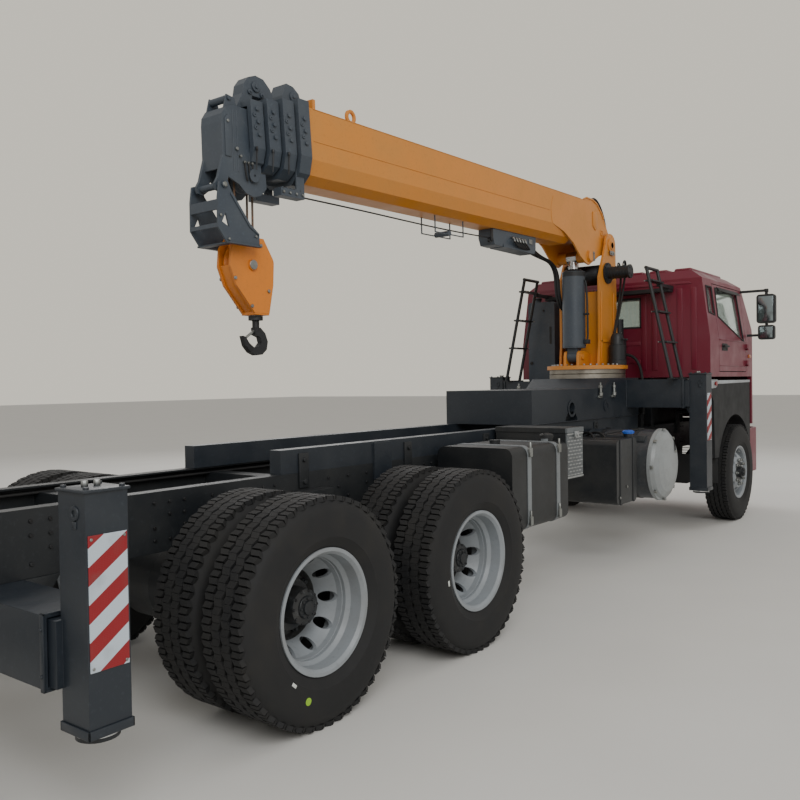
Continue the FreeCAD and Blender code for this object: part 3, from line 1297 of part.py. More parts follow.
def cab_block(inset, floor, low):
    side = plate("XZ", (-(s.cab_half + 5), s.cab_half + 5), cab_side(inset, floor), stem="cab_side")
    front = plate("YZ", (s.cab_rear_x - 5, s.cab_front_x + 5), cab_front(inset, low), stem="cab_section")
    half = s.cab_half - inset
    nose = s.cab_front_x - inset
    plan = plate("XY", (low - 5, s.cab_top + 5), [
        (s.cab_rear_x + inset - 1, -half), (4560, -half), (nose, -(half - 230)), (nose, half - 230),
        (4560, half), (s.cab_rear_x + inset - 1, half)],
        rounds=[((1, 2, 3, 4), 150)], stem="cab_plan")
    return both(both(side, front), plan)


HINGE_HEIGHTS = (1780, 1970)
DOOR_WINDOW = [(3262, 2300), (3285, 2612), (4085, 2612), (4136, 2050)]
QUARTER_WINDOW = [(2960, 2330), (2975, 2615), (3160, 2615), (3160, 2310)]
SCREEN = [(-985, 2030), (985, 2030), (915, 2640), (-915, 2640)]


def side_pane(window, side):
    """A thin pane that follows the cab's side, cut to a window's outline."""
    lean = s.cab_half - s.cab_roof_half
    rise = s.cab_top - 100 - 2050
    depth = 22
    low = s.cab_half - depth
    high = s.cab_roof_half - depth
    wall = s.glass_wall
    strip = plate("YZ", (s.cab_rear_x, s.cab_front_x), [
        (low, 1950), (low, 2050), (high, s.cab_top - 100), (high - wall, s.cab_top - 100),
        (low - wall, 2050), (low - wall, 1950)],
        stem="pane_strip")
    cutter = plate("XZ", (0, s.cab_half + 10), window, stem="pane_outline")
    pane = both(strip, cutter)
    return pane if side > 0 else mirror(pane)


def cab():
    """Hollow cab shell with its openings, the fixed panes, and the doors with theirs."""
    wall = s.cab_wall
    outer = cab_block(size(0), size(0), 1000)
    inner = cab_block(wall, wall, 1000)
    hood = plate("XZ", (-(s.cab_half + 5), s.cab_half + 5), [
        (4475, s.cab_nose_bottom), (s.cab_front_x, s.cab_nose_bottom), (s.cab_front_x, s.cab_floor + 10),
        (4475, s.cab_floor + 10)], stem="nose")
    half = s.cab_half
    plan = plate("XY", (s.cab_nose_bottom, s.cab_floor + 20), [
        (4470, -half), (4560, -half), (s.cab_front_x, -(half - 230)), (s.cab_front_x, half - 230),
        (4560, half), (4470, half)],
        rounds=[((1, 2, 3, 4), 150)], stem="nose_plan")
    space = plate("XY", (s.cab_nose_bottom - 5, s.cab_floor), [
        (4400, -(half - wall)), (4540, -(half - wall)), (s.cab_front_x - wall, -(half - 250)),
        (s.cab_front_x - wall, half - 250),
        (4540, half - wall), (4400, half - wall)], stem="nose_space")
    # Room in the front panel's lower edge for the rails' ends, between the ears, when the cab tilts
    notch_half = s.rail_outer + 6
    notch = block((s.cab_front_x - wall - 10, s.cab_front_x + 5), (-notch_half, notch_half),
                  (s.cab_nose_bottom - 5, s.cab_nose_bottom + s.tilt_pin_height + 34), stem="rail_notch")
    nose = less(both(hood, plan), [space, notch])
    shell = less(outer, [inner])
    gap = s.door_gap
    cuts = []
    hinges = []
    for name, side in SIDES:
        y = (s.cab_roof_half - 100, half + 10) if side > 0 else (-(half + 10), -(s.cab_roof_half - 100))
        cuts.append(block((s.door_rear_x - gap, s.door_front_x + gap), y,
                          (s.door_bottom - gap, s.door_top + gap), stem="door_opening"))
        cuts.append(plate("XZ", y, QUARTER_WINDOW, rounds=[((0, 1, 2, 3), 35)], stem="quarter_window"))
        leaf = block((s.door_rear_x, s.door_front_x), y, (s.door_bottom, s.door_top), stem="door_leaf")
        window = plate("XZ", y, DOOR_WINDOW, rounds=[((0, 1, 2, 3), 40)], stem="door_window")
        skin = less(cab_block(size(0), size(0), 1000), [cab_block(wall, wall, 1000)])
        def band(low, high):
            return (low, high) if side > 0 else (-high, -low)

        hinge_y = (half + s.hinge_out) * side
        sleeves = []
        bores = []
        for low in HINGE_HEIGHTS:
            high = low + 50
            sleeves.append(rod("Z", (s.door_front_x + 5, hinge_y, low), 13, 50, stem="hinge_sleeve"))
            sleeves.append(block((s.door_front_x - 35, s.door_front_x - 1),
                                 band(half - 8, half + s.hinge_out + 11), (low, high), stem="hinge_arm"))
            bores.append(rod("Z", (s.door_front_x + 5, hinge_y, low - 5), 8 + s.pin_clearance, 60,
                             stem="hinge_bore"))
            lug = block((s.door_front_x - 5, s.door_front_x + 50), band(half + 6, half + s.hinge_out + 13),
                        (low - 21, low - 1),
                        stem="hinge_lug")
            root = block((s.door_front_x + 20, s.door_front_x + 50),
                         band(half - 10, half + s.hinge_out + 13), (low - 21, low - 1), stem="hinge_root")
            pin = rod("Z", (s.door_front_x + 5, hinge_y, low - 15), 8, 63, stem="hinge_pin")
            hinges += [lug, root, pin]
        node(f"door_{name}", less(join([less(both(skin, leaf), [window]), *sleeves]), bores))
    cuts.append(plate("YZ", (4150, s.cab_front_x + 10), SCREEN, rounds=[((0, 1, 2, 3), 60)],
                      stem="screen_opening"))
    cuts.append(block((s.cab_rear_x - 5, s.cab_rear_x + wall + 5), (-350, 350), (2210, 2510),
                      stem="rear_window"))
    pivot = s.cab_nose_bottom + s.tilt_pin_height
    ears = []
    for low in (-470, 440):
        ears.append(block((4640, s.cab_front_x - wall + 5), (low, low + 30), (pivot - 40, pivot + 120),
                          stem="tilt_ear"))
    pivot_bore = rod("Y", (s.tilt_pin_x, -480, pivot), s.tilt_pin_radius + s.pin_clearance, 960,
                     stem="tilt_bore")
    node("cab_shell", less(join([less(shell, cuts), nose, *ears, *hinges]), [pivot_bore]))
    wall_mid = 22
    screen = both(
        plate("XZ", (-1000, 1000), [
            (4330 - 26, 2700), (4330 - 33, 2700), (4700 - 33, 1960), (4700 - 26, 1960)], stem="screen_strip"),
        plate("YZ", (4150, s.cab_front_x), SCREEN, rounds=[((0, 1, 2, 3), 60)], stem="screen_outline"))
    rear = block((s.cab_rear_x + wall_mid, s.cab_rear_x + wall_mid + s.glass_wall), (-350, 350),
                 (2210, 2510), stem="rear_pane")
    quarter = [both(side_pane(QUARTER_WINDOW, side), plate("XZ", (-s.cab_half, s.cab_half), QUARTER_WINDOW,
                                                           rounds=[((0, 1, 2, 3), 35)],
                                                           stem="quarter_outline"))
               for name, side in SIDES]
    node("cab_glass", apart([screen, rear, *quarter]))
    for name, side in SIDES:
        outline_cut = plate("XZ", (-s.cab_half, s.cab_half), DOOR_WINDOW, rounds=[((0, 1, 2, 3), 40)],
                            stem="door_outline")
        node(f"door_glass_{name}", both(side_pane(DOOR_WINDOW, side), outline_cut))


def cab_interior():
    """Dashboard, wheel, seats and the engine tunnel, standing on the cab floor."""
    floor = s.cab_floor + s.cab_wall
    tunnel = block((s.cab_rear_x + 120, 4300), (-320, 320), (floor, floor + 240), stem="tunnel")
    dash = plate("XZ", (-1010, 1010), [
        (4300, floor), (4500, floor), (4560, 1990), (4480, 2040), (4330, 2010), (4260, 1940)], stem="dash")
    pieces = [tunnel, dash]
    for name, side in SIDES:
        y = (410, 950) if side > 0 else (-950, -410)
        pieces.append(block((3320, 3800), y, (floor, floor + 160), stem="seat_box"))
        pieces.append(plate("XZ", y, [
            (3300, floor + 155), (3830, floor + 155), (3840, floor + 270), (3400, floor + 270),
            (3330, floor + 860), (3230, floor + 860)],
            stem="seat"))
    wheel = doc.addObject("Part::Torus", fresh("wheel"))
    wheel.Radius1 = 220
    wheel.Radius2 = 16
    wheel_turn = ((0, 1, 0), -35)
    pieces.append(place(wheel, 4090, 680, 2030, turn=wheel_turn))
    spoke = doc.addObject("Part::Box", fresh("spoke"))
    spoke.Length = 60
    spoke.Width = 430
    spoke.Height = 18
    pieces.append(place(spoke, 4065, 465, 2005, turn=wheel_turn))
    shaft = doc.addObject("Part::Cylinder", fresh("steering_shaft"))
    shaft.Radius = 28
    shaft.Height = 330
    pieces.append(place(shaft, 4088, 680, 2025, turn=((0, 1, 0), 145)))
    node("cab_interior", join(pieces))


def mirrors():
    """Arms on the cab's front corners with a large and a small mirror each."""
    pieces = []
    x = 4300
    for name, side in SIDES:
        def band(low, high):
            return (low, high) if side > 0 else (-high, -low)

        upper = block((x - 14, x + 14), band(1044.2, 1350), (2632, 2660), stem="mirror_arm")
        lower = block((x - 14, x + 14), band(s.cab_half + s.rest_gap, 1350), (2110, 2138), stem="mirror_arm")
        post = block((x - 14, x + 14), band(1325, 1353), (2110, 2660), stem="mirror_post")
        large = plate("YZ", (x - 38, x + 38), [
            (band(1235, 1440)[0], 2262), (band(1235, 1440)[1], 2262), (band(1235, 1440)[1], 2600),
            (band(1235, 1440)[0], 2600)],
            rounds=[((0, 1, 2, 3), 35)], stem="large_mirror")
        small = plate("YZ", (x - 35, x + 35), [
            (band(1250, 1430)[0], 2070), (band(1250, 1430)[1], 2070), (band(1250, 1430)[1], 2238),
            (band(1250, 1430)[0], 2238)],
            rounds=[((0, 1, 2, 3), 30)], stem="small_mirror")
        pieces.append(join([upper, lower, post, large, small]))
    node("mirrors", apart(pieces))


def wheel_arches():
    """Front mudguards: a skirt with the round opening and the liner over the tyre."""
    pieces = []
    radius = s.arch_radius
    for name, side in SIDES:
        def band(low, high):
            return (low, high) if side > 0 else (-high, -low)

        skirt = plate("XZ", band(1075, 1105), [
            (steer_x - 760, 760), (steer_x + 615, 760), (steer_x + 615, 1600), (steer_x - 940, 1600),
            (steer_x - 940, 1510), (steer_x - 800, 1380)],
            stem="skirt")
        low_y = band(800, 1105)[0]
        liner = rod("Y", (steer_x, low_y, axle_z), radius + 14, 305, stem="liner")
        space = rod("Y", (steer_x, low_y - 30, axle_z), radius, 400, stem="tyre_space")
        floor_cut = block((steer_x - 900, steer_x + 900), band(700, 1300), (-200, 760), stem="below")
        tie = block((steer_x - 50, steer_x + 50), band(s.rail_outer, 830), (1215, 1240), stem="arch_bracket")
        post = block((steer_x - 50, steer_x + 50), band(s.rail_outer, s.rail_outer + 20), (980, 1235),
                     stem="arch_post")
        roof = block((steer_x - 940, steer_x + 615), band(820, 1105), (1585, 1600), stem="skirt_top")
        pieces.append(less(join([skirt, liner, tie, post, roof]), [space, floor_cut]))
    node("wheel_arches", apart(pieces))


chassis_frame()
crane_base()
rear_housing()
outriggers()
front_axle()
knuckles()
rear_axles()
driveline()
front_wheels()
rear_wheels()
side_gear()
front_bumper()
ladders()
hydraulics()
slewing_ring()
column()
winch()
lift_cylinder()
boom_base()
rope_gear()
boom_sections()
hanging_gear()
cab()
cab_interior()
mirrors()
wheel_arches()

doc.recompute()

for thing in doc.Objects:
    if "Invalid" in thing.State or "Error" in thing.State:
        raise RuntimeError(f"{thing.Name}: {thing.State}")
for name, thing in nodes.items():
    shape = thing.Shape
    if shape.isNull() or not shape.isValid() or not shape.Solids:
        raise RuntimeError(f"{name} is not a valid solid")

os.makedirs("parts", exist_ok=True)
for name, thing in nodes.items():
    thing.Shape.exportStep(f"parts/{name}.step")
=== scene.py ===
# Truck-mounted telescopic crane on a bare chassis, parked with its boom over the tail.
# Metres, +X towards the cab, +Y to the left, +Z up, as the solids have them.
import math

import bpy
from mathutils import Matrix, Vector


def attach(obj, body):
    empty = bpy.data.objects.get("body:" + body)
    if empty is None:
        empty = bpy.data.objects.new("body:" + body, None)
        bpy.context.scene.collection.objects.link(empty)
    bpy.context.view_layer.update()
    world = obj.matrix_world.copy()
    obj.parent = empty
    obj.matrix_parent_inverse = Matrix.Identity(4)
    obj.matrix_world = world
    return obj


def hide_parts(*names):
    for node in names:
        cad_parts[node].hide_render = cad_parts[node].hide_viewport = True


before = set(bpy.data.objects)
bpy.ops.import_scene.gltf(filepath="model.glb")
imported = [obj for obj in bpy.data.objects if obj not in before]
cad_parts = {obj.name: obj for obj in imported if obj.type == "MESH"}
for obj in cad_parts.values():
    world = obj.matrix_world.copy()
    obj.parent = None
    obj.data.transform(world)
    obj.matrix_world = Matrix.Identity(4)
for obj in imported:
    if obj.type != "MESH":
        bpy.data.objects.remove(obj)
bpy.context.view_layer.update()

# Places and sizes that the solids have
STEER_X = 3.84
DRIVE_X = -1.86
TAIL_X = -3.21
AXLE_Z = 0.545
TYRE_R = 0.545
DUAL_Y = 0.9125
TWIN_SHIFT = 0.1725
FRONT_Y = 1.030
RAIL_Y = 0.430
SLEW_X = 2.280
FOOT_X = 2.400
FOOT_Z = 3.060
BOOM_TILT = math.radians(-1.3)
CAB_HALF = 1.120
CAB_REAR_X = 2.8905
CAB_FRONT_X = 4.8005
WAIST_Z = 2.050
REAR_LEG_X = -4.390
FRONT_LEG_X = 2.410
LEG_Y = 1.165
LEG_FACE = 1.250
BASE_HALF = 0.440
LIFT_X = 1.970
SIDES = (("left", 1), ("right", -1))


# Colour and nodes

def shade(text):
    """An sRGB hex colour as the linear values that sockets take."""
    parts = [int(text[i:i + 2], 16) / 255 for i in (1, 3, 5)]
    return tuple(c / 12.92 if c <= 0.04045 else ((c + 0.055) / 1.055) ** 2.4 for c in parts) + (1.0,)


def add_node(tree, kind, feeds=None, **settings):
    """One node: its settings, then each socket's feed, an output, a hex colour or a value."""
    made = tree.nodes.new(kind)
    for key, value in settings.items():
        setattr(made, key, value)
    for key, feed in (feeds or {}).items():
        if isinstance(feed, bpy.types.NodeSocket):
            tree.links.new(feed, made.inputs[key])
        else:
            made.inputs[key].default_value = shade(feed) if isinstance(feed, str) else feed
    return made


def blank(name):
    """A new material, its node tree and the object coordinates that its patterns follow."""
    material = bpy.data.materials.new(name)
    material.use_nodes = True
    tree = material.node_tree
    tree.nodes.clear()
    return material, tree, add_node(tree, "ShaderNodeTexCoord").outputs["Object"]


def surface(tree, feeds):
    """The shader of a material, joined to its output."""
    shader = add_node(tree, "ShaderNodeBsdfPrincipled", feeds)
    add_node(tree, "ShaderNodeOutputMaterial", {"Surface": shader.outputs[0]})


def maths(tree, operation, *values):
    return add_node(tree, "ShaderNodeMath", dict(enumerate(values)), operation=operation).outputs[0]


def noise(tree, where, scale, detail, roughness=0.5):
    feeds = {"Vector": where, "Scale": scale, "Detail": detail, "Roughness": roughness}
    return add_node(tree, "ShaderNodeTexNoise", feeds).outputs[0]


def graded(tree, source, low, high, start, end):
    """A value that goes from start to end while source goes from low to high."""
    feeds = {"Value": source, "From Min": low, "From Max": high, "To Min": start, "To Max": end}
    return add_node(tree, "ShaderNodeMapRange", feeds).outputs[0]


def band(tree, source, low, start, high, end):
    """A grey that goes from start, where source is low, to end, where it is high."""
    made = add_node(tree, "ShaderNodeValToRGB", {"Fac": source})
    for element, place, grey in zip(made.color_ramp.elements, (low, high), (start, end)):
        element.position = place
        element.color = (grey, grey, grey, 1.0)
    return made.outputs["Color"]


def tinted(tree, amount, first, second):
    """A colour that goes from first to second; each is a hex colour or an output."""
    return add_node(tree, "ShaderNodeMix", {0: amount, 6: first, 7: second}, data_type="RGBA").outputs[2]


def relief(tree, height, strength, distance, **normal):
    """The normal of a surface that a pattern raises."""
    feeds = {"Height": height, "Strength": strength, "Distance": distance, **normal}
    return add_node(tree, "ShaderNodeBump", feeds).outputs[0]


def along(tree, where, axis):
    return add_node(tree, "ShaderNodeSeparateXYZ", {"Vector": where}).outputs[axis]


def beyond(tree, where, axis, edge):
    """1 where the object coordinate on an axis is above edge, 0 below it."""
    return maths(tree, "GREATER_THAN", along(tree, where, axis), edge)


def near_axle(tree, where, x, radius):
    """1 inside a radius of a wheel's axle, 0 outside it."""
    flat = add_node(tree, "ShaderNodeVectorMath", {0: where, 1: (1, 0, 1)}, operation="MULTIPLY").outputs[0]
    off = add_node(tree, "ShaderNodeVectorMath", {0: flat, 1: (x, 0, AXLE_Z)}, operation="DISTANCE")
    return maths(tree, "LESS_THAN", off.outputs["Value"], radius)


def under_strap(tree, where, x, spacing, half):
    """1 where a strap of the fuel tank runs, 0 between the straps."""
    shift = maths(tree, "SUBTRACT", along(tree, where, "X"), x)
    return maths(tree, "LESS_THAN", maths(tree, "PINGPONG", shift, spacing / 2), half)


def enamel(name, colour, worn, dust, gloss, dirt, second=None):
    """Sprayed enamel over steel plate: even colour, soft road dust in patches, duller where dusty.

    Dust gathers in patches some 300 mm across; the spray's 3 mm peel is drawn at 6 mm so it shows.
    second is (function that gives 0 or 1, its values, colour) for a node that carries two colours.
    """
    material, tree, where = blank(name)
    patches = noise(tree, where, 3.1, 6.0, 0.62)
    base = colour
    if second:
        inside, values, other = second
        base = tinted(tree, inside(tree, where, *values), colour, other)
    soft = tinted(tree, band(tree, patches, 0.42, 0.0, 0.80, dirt), base, dust)
    skin = tinted(tree, band(tree, noise(tree, where, 48.0, 4.0, 0.65), 0.56, 0.0, 0.74, 0.4), soft, worn)
    rounded = add_node(tree, "ShaderNodeBevel", {"Radius": 0.004}, samples=4).outputs[0]
    surface(tree, {
        "Base Color": skin, "Roughness": graded(tree, patches, 0.35, 0.75, gloss, min(gloss + 0.25, 0.9)),
        "Normal": relief(tree, noise(tree, where, 160.0, 1.0), 0.10, 0.001, Normal=rounded),
        "IOR": 1.5, "Coat Weight": 0.1, "Coat Roughness": 0.2})
    return material


def bare_metal(name, colour, dark, gloss, streak=(1.0, 1.0, 1.0), pitch=90.0):
    """Machined, plated or cast steel: metallic, with marks that run along the streak's long axis."""
    material, tree, where = blank(name)
    drawn = add_node(tree, "ShaderNodeMapping", {"Vector": where, "Scale": streak}).outputs[0]
    marks = noise(tree, drawn, pitch, 5.0, 0.6)
    stain = noise(tree, where, 7.0, 5.0, 0.6)
    surface(tree, {
        "Base Color": tinted(tree, band(tree, stain, 0.45, 0.0, 0.72, 0.7), colour, dark),
        "Roughness": graded(tree, marks, 0.3, 0.7, gloss, min(gloss + 0.2, 0.95)),
        "Normal": relief(tree, marks, 0.15, 0.0008), "Metallic": 1.0})
    return material


def moulded(name, colour, dust, gloss, grain=700.0, depth=0.0003, dirt=0.5):
    """Moulded plastic or rubber: fine moulded grain (1.4 mm), dust in random patches."""
    material, tree, where = blank(name)
    patches = noise(tree, where, 6.0, 6.0, 0.65)
    surface(tree, {
        "Base Color": tinted(tree, band(tree, patches, 0.40, 0.0, 0.78, dirt), colour, dust),
        "Roughness": graded(tree, patches, 0.3, 0.7, gloss, min(gloss + 0.2, 0.95)),
        "Normal": relief(tree, noise(tree, where, grain, 2.0), 0.3, depth), "IOR": 1.5})
    return material


def pane_glass(name, tint):
    """Toughened float glass with a faint body tint and a little dust."""
    material, tree, where = blank(name)
    haze = noise(tree, where, 5.0, 5.0)
    surface(tree, {
        "Base Color": tinted(tree, band(tree, haze, 0.4, 0.0, 0.8, 0.3), tint, "#C9CFCB"),
        "Roughness": graded(tree, haze, 0.3, 0.8, 0.02, 0.10), "IOR": 1.45, "Transmission Weight": 0.85})
    return material


def lens(name, colour, glow, scale=50.0, clear=0.25, front=None):
    """Ribbed acrylic lamp lens: ribs every 6 to 8 mm under a smooth face.

    front is the pair of colours for the lenses ahead of the frame's middle, in a node that has both.
    """
    material, tree, where = blank(name)
    wave = {"Vector": where, "Scale": scale}
    ribs = add_node(tree, "ShaderNodeTexWave", wave, wave_type="BANDS", bands_direction="Y").outputs["Fac"]
    if front:
        ahead = beyond(tree, where, "X", 0.0)
        colour, glow = tinted(tree, ahead, colour, front[0]), tinted(tree, ahead, glow, front[1])
    surface(tree, {
        "Base Color": tinted(tree, band(tree, ribs, 0.2, 0.0, 0.9, 0.8), colour, glow),
        "Normal": relief(tree, ribs, 0.4, 0.002), "IOR": 1.49, "Roughness": 0.12, "Transmission Weight": clear})
    return material


def stripes(name, start):
    """Retro-reflective red and white tape over a 6 mm honeycomb, its 54 mm bands rising towards the cab."""
    material, tree, where = blank(name)
    slope = maths(tree, "MULTIPLY_ADD", along(tree, where, "X"), -0.70, along(tree, where, "Z"))
    white = maths(tree, "GREATER_THAN",
                  maths(tree, "FRACT", maths(tree, "MULTIPLY_ADD", slope, 1 / 0.132, start)), 0.5)
    net = {"Vector": where, "Scale": 160.0, "Randomness": 0.0}
    cells = add_node(tree, "ShaderNodeTexVoronoi", net, feature="DISTANCE_TO_EDGE").outputs["Distance"]
    tape = tinted(tree, white, "#8E0A15", "#BFCAD4")
    netted = tinted(tree, band(tree, cells, 0.02, 0.16, 0.06, 0.0), tape, "#7B8187")
    worn = tinted(tree, band(tree, noise(tree, where, 9.0, 6.0), 0.5, 0.0, 0.8, 0.4), netted, "#5E5A54")
    surface(tree, {"Base Color": worn, "Roughness": 0.42, "IOR": 1.5})
    return material


# Finishes

BOOM_YELLOW = enamel("boom_enamel_orange_yellow", "#CE832C", "#AC6B24", "#B0864F", 0.36, 0.40)
SLATE = enamel("slate_blue_enamel", "#3A434D", "#59636D", "#5F6264", 0.42, 0.40)
NAVY = enamel("navy_black_enamel", "#1F262E", "#3A434C", "#46484A", 0.36, 0.34)
FRAME_BLACK = enamel("chassis_black_enamel", "#181C20", "#33373B", "#3A3A37", 0.45, 0.34)
CAB_MAROON = enamel("cab_maroon_lacquer", "#6F1A2F", "#571225", "#6F4347", 0.28, 0.22)
SILVER = enamel("silver_wheel_enamel", "#A6ACB0", "#7F8486", "#79756D", 0.40, 0.50)
BLOCK_ORANGE = enamel("hook_block_orange_enamel", "#D87D1F", "#A55A1A", "#9A6B3C", 0.40, 0.45,
                      second=(beyond, ("Z", 2.523), "#33302C"))
RING_STEEL = bare_metal("slewing_ring_turned_steel", "#A39D92", "#6F675A", 0.38, (1, 1, 8))
DARK_STEEL = bare_metal("forged_dark_steel", "#4A4B4D", "#2E2A27", 0.45)
CHROME = bare_metal("hard_chrome_rod", "#C9CBCC", "#9FA1A2", 0.12, (1, 1, 12), 200.0)
ZINC = bare_metal("zinc_plated_fastener", "#9FA2A0", "#6D6B63", 0.36)
ALUMINIUM = bare_metal("aluminised_drum_sheet", "#B4B7B8", "#7E7D79", 0.34, (10, 1, 1), 60.0)
RUBBER = moulded("tyre_rubber_black", "#141517", "#393733", 0.66, 420.0, 0.0006, 0.40)
HOSE = moulded("hose_rubber_black", "#17181A", "#3A3834", 0.55, 500.0, 0.0003, 0.4)
BLACK_PLASTIC = moulded("black_moulded_plastic", "#1C1E20", "#45433F", 0.5)
ARCH_PLASTIC = moulded("mudguard_black_plastic", "#121518", "#2A2B2C", 0.55, dirt=0.35)
GREY_PLASTIC = moulded("grey_moulded_trim", "#5B5F62", "#6F6D68", 0.6)
GLASS = pane_glass("cab_window_glass", "#D4DEDA")
RED_LENS = lens("red_lamp_lens", "#8C1014", "#C22A22")
AMBER_LENS = lens("amber_lamp_lens", "#B4590F", "#E28A2A")


def wheel_enamel_and_painted_shade(name, x, hub):
    """The wheels' silver enamel, darker than the other silver parts as partly painted shade of the deep barrels,
    with a black disc round the axle: the hub's own black paint on the steer wheels, and on the twin wheels also
    painted shade over the silver bolt circle.
    """
    return enamel(name, "#8C9297", "#6E7376", "#6A665F", 0.38, 0.45,
                  second=(near_axle, (x, hub), "#1D2023"))


WHEEL_STEER = wheel_enamel_and_painted_shade("silver_enamel_and_painted_shade_steer_wheel", STEER_X, 0.1265)
# Painted shade: on the drive and tail wheels the black reaches 176 mm from the axle, over the silver bolt circle,
# standing in for the shade deep in their dished discs.
WHEEL_DRIVE_PAINTED_SHADE = wheel_enamel_and_painted_shade("silver_enamel_and_painted_shade_drive_wheel", DRIVE_X, 0.176)
WHEEL_TAIL_PAINTED_SHADE = wheel_enamel_and_painted_shade("silver_enamel_and_painted_shade_tail_wheel", TAIL_X, 0.176)


LAMP_LENSES = lens("lamp_lenses_red_rear_clear_front", "#8C1014", "#C22A22", 40.0, 0.0, ("#AEB6BA", "#E2E7EA"))
FUEL_TANK = enamel("tank_black_enamel_bright_straps", "#15181B", "#303336", "#34342F", 0.38, 0.30,
                   second=(under_strap, (-1.045, 0.430, 0.0255), "#777C7F"))
BATTERY_BOX = enamel("box_silver_face_black_sides", "#5E6366", "#3A3D40", "#4A4842", 0.42, 0.40,
                     second=(beyond, ("Y", -1.070), "#1D2023"))
DRUM = enamel("drum_silver_end_dark_shell", "#8F9496", "#66696B", "#6E6C65", 0.30, 0.50,
              second=(beyond, ("Y", -1.105), "#2A3037"))

FINISHES = {}
for material, names in (
        (BOOM_YELLOW, "boom_base column"),
        (SLATE, "rope_gear boom_section_2 boom_section_3 boom_section_4 guide_frame lift_barrel oil_tank"),
        (NAVY, "crane_base rear_outrigger_housing outrigger_front_left outrigger_front_right "
               "outrigger_rear_left outrigger_rear_right"),
        (CHROME, "lift_rod jack_front_left jack_front_right jack_rear_left jack_rear_right"),
        (FRAME_BLACK, "winch chassis_frame front_axle rear_axles air_tanks ladders control_valve"),
        (DARK_STEEL, "hook driveline knuckle_left knuckle_right"),
        (CAB_MAROON, "front_bumper cab_shell door_left door_right"),
        (GLASS, "cab_glass door_glass_left door_glass_right"),
        (WHEEL_STEER, "rim_front_left rim_front_right"),
        (WHEEL_DRIVE_PAINTED_SHADE, "rims_drive_left rims_drive_right"),
        (WHEEL_TAIL_PAINTED_SHADE, "rims_tail_left rims_tail_right"),
        (BLOCK_ORANGE, "hook_block"), (RING_STEEL, "slewing_ring"), (FUEL_TANK, "fuel_tank"),
        (BATTERY_BOX, "battery_box"), (DRUM, "exhaust_drum"), (LAMP_LENSES, "lamps"),
        (GREY_PLASTIC, "cab_interior"), (BLACK_PLASTIC, "mirrors"), (ARCH_PLASTIC, "wheel_arches")):
    FINISHES.update(dict.fromkeys(names.split(), material))
for name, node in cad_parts.items():
    for slot in node.material_slots:
        slot.material = FINISHES.get(name, RUBBER)


# Camera, floor and light

def photo_camera():
    """Stands where the photograph was taken: behind the right rear corner, at eye height."""
    yaw = math.radians(37.5075)
    dip = math.radians(1.1155)
    roll = math.radians(-0.8416)
    ahead = Vector((math.cos(dip) * math.cos(yaw), math.cos(dip) * math.sin(yaw), -math.sin(dip)))
    level = Vector((math.sin(yaw), -math.cos(yaw), 0.0))
    up = level.cross(ahead)
    right = level * math.cos(roll) + up * math.sin(roll)
    top = up * math.cos(roll) - level * math.sin(roll)
    place = Matrix((right, top, -ahead)).transposed().to_4x4()
    place.translation = (-6.0733, -3.8540, 1.6119)
    data = bpy.data.cameras.new("photo_camera")
    data.lens = 37.32
    data.sensor_width = 36.0
    data.clip_end = 200.0
    camera = bpy.data.objects.new("photo_camera", data)
    bpy.context.scene.collection.objects.link(camera)
    camera.matrix_world = place
    bpy.context.scene.camera = camera


def studio():
    """Pale floor, an even sky and one broad lamp above the camera's shoulder."""
    deselect()
    bpy.ops.mesh.primitive_plane_add(size=160.0, location=(0, 0, 0))
    floor = bpy.context.object
    floor.name = "floor"
    material, tree, where = blank("pale_floor")
    colour = tinted(tree, noise(tree, where, 1.2, 6.0), "#CBCAC6", "#D3D2CE")
    surface(tree, {"Base Color": colour, "Roughness": 0.85})
    floor.data.materials.append(material)
    world = bpy.data.worlds.new("studio_sky")
    bpy.context.scene.world = world
    world.use_nodes = True
    tree = world.node_tree
    tree.nodes.clear()
    path = add_node(tree, "ShaderNodeLightPath").outputs
    seen = maths(tree, "MAXIMUM", path["Is Camera Ray"], path["Is Transmission Ray"])
    light = add_node(tree, "ShaderNodeBackground", {"Color": "#FFFBF4", "Strength": 0.62})
    backdrop = add_node(tree, "ShaderNodeBackground", {"Color": "#E4DFD2", "Strength": 1.0})
    mixed = add_node(tree, "ShaderNodeMixShader", {0: seen, 1: light.outputs[0], 2: backdrop.outputs[0]})
    add_node(tree, "ShaderNodeOutputWorld", {"Surface": mixed.outputs[0]})
    for name, place, size, power in (("key", (-9.0, -9.0, 9.0), 8.0, 950.0), ("fill", (6.0, 9.0, 8.0), 8.0, 420.0),
                                     ("nose", (11.0, -4.0, 6.0), 6.0, 260.0)):
        data = bpy.data.lights.new(name, "AREA")
        data.size = size
        data.energy = power
        lamp = bpy.data.objects.new(name, data)
        bpy.context.scene.collection.objects.link(lamp)
        lamp.location = place
        lamp.visible_glossy = name != "nose"
        lamp.rotation_euler = (Vector((0, 0, 1.2)) - Vector(place)).to_track_quat("-Z", "Y").to_euler()


# Making pieces

def deselect():
    if bpy.context.object and bpy.context.object.mode != "OBJECT":
        bpy.ops.object.mode_set(mode="OBJECT")
    bpy.ops.object.select_all(action="DESELECT")


def only(piece):
    deselect()
    piece.select_set(True)
    bpy.context.view_layer.objects.active = piece


def modified(piece, kind, **settings):
    """Adds one modifier and applies it."""
    only(piece)
    modifier = piece.modifiers.new(kind.lower(), kind)
    for key, value in settings.items():
        setattr(modifier, key, value)
    bpy.ops.object.modifier_apply(modifier=modifier.name)


def bevelled(piece, width, segments=2):
    if width:
        modified(piece, "BEVEL", width=width, segments=segments, limit_method="ANGLE", angle_limit=math.radians(35))


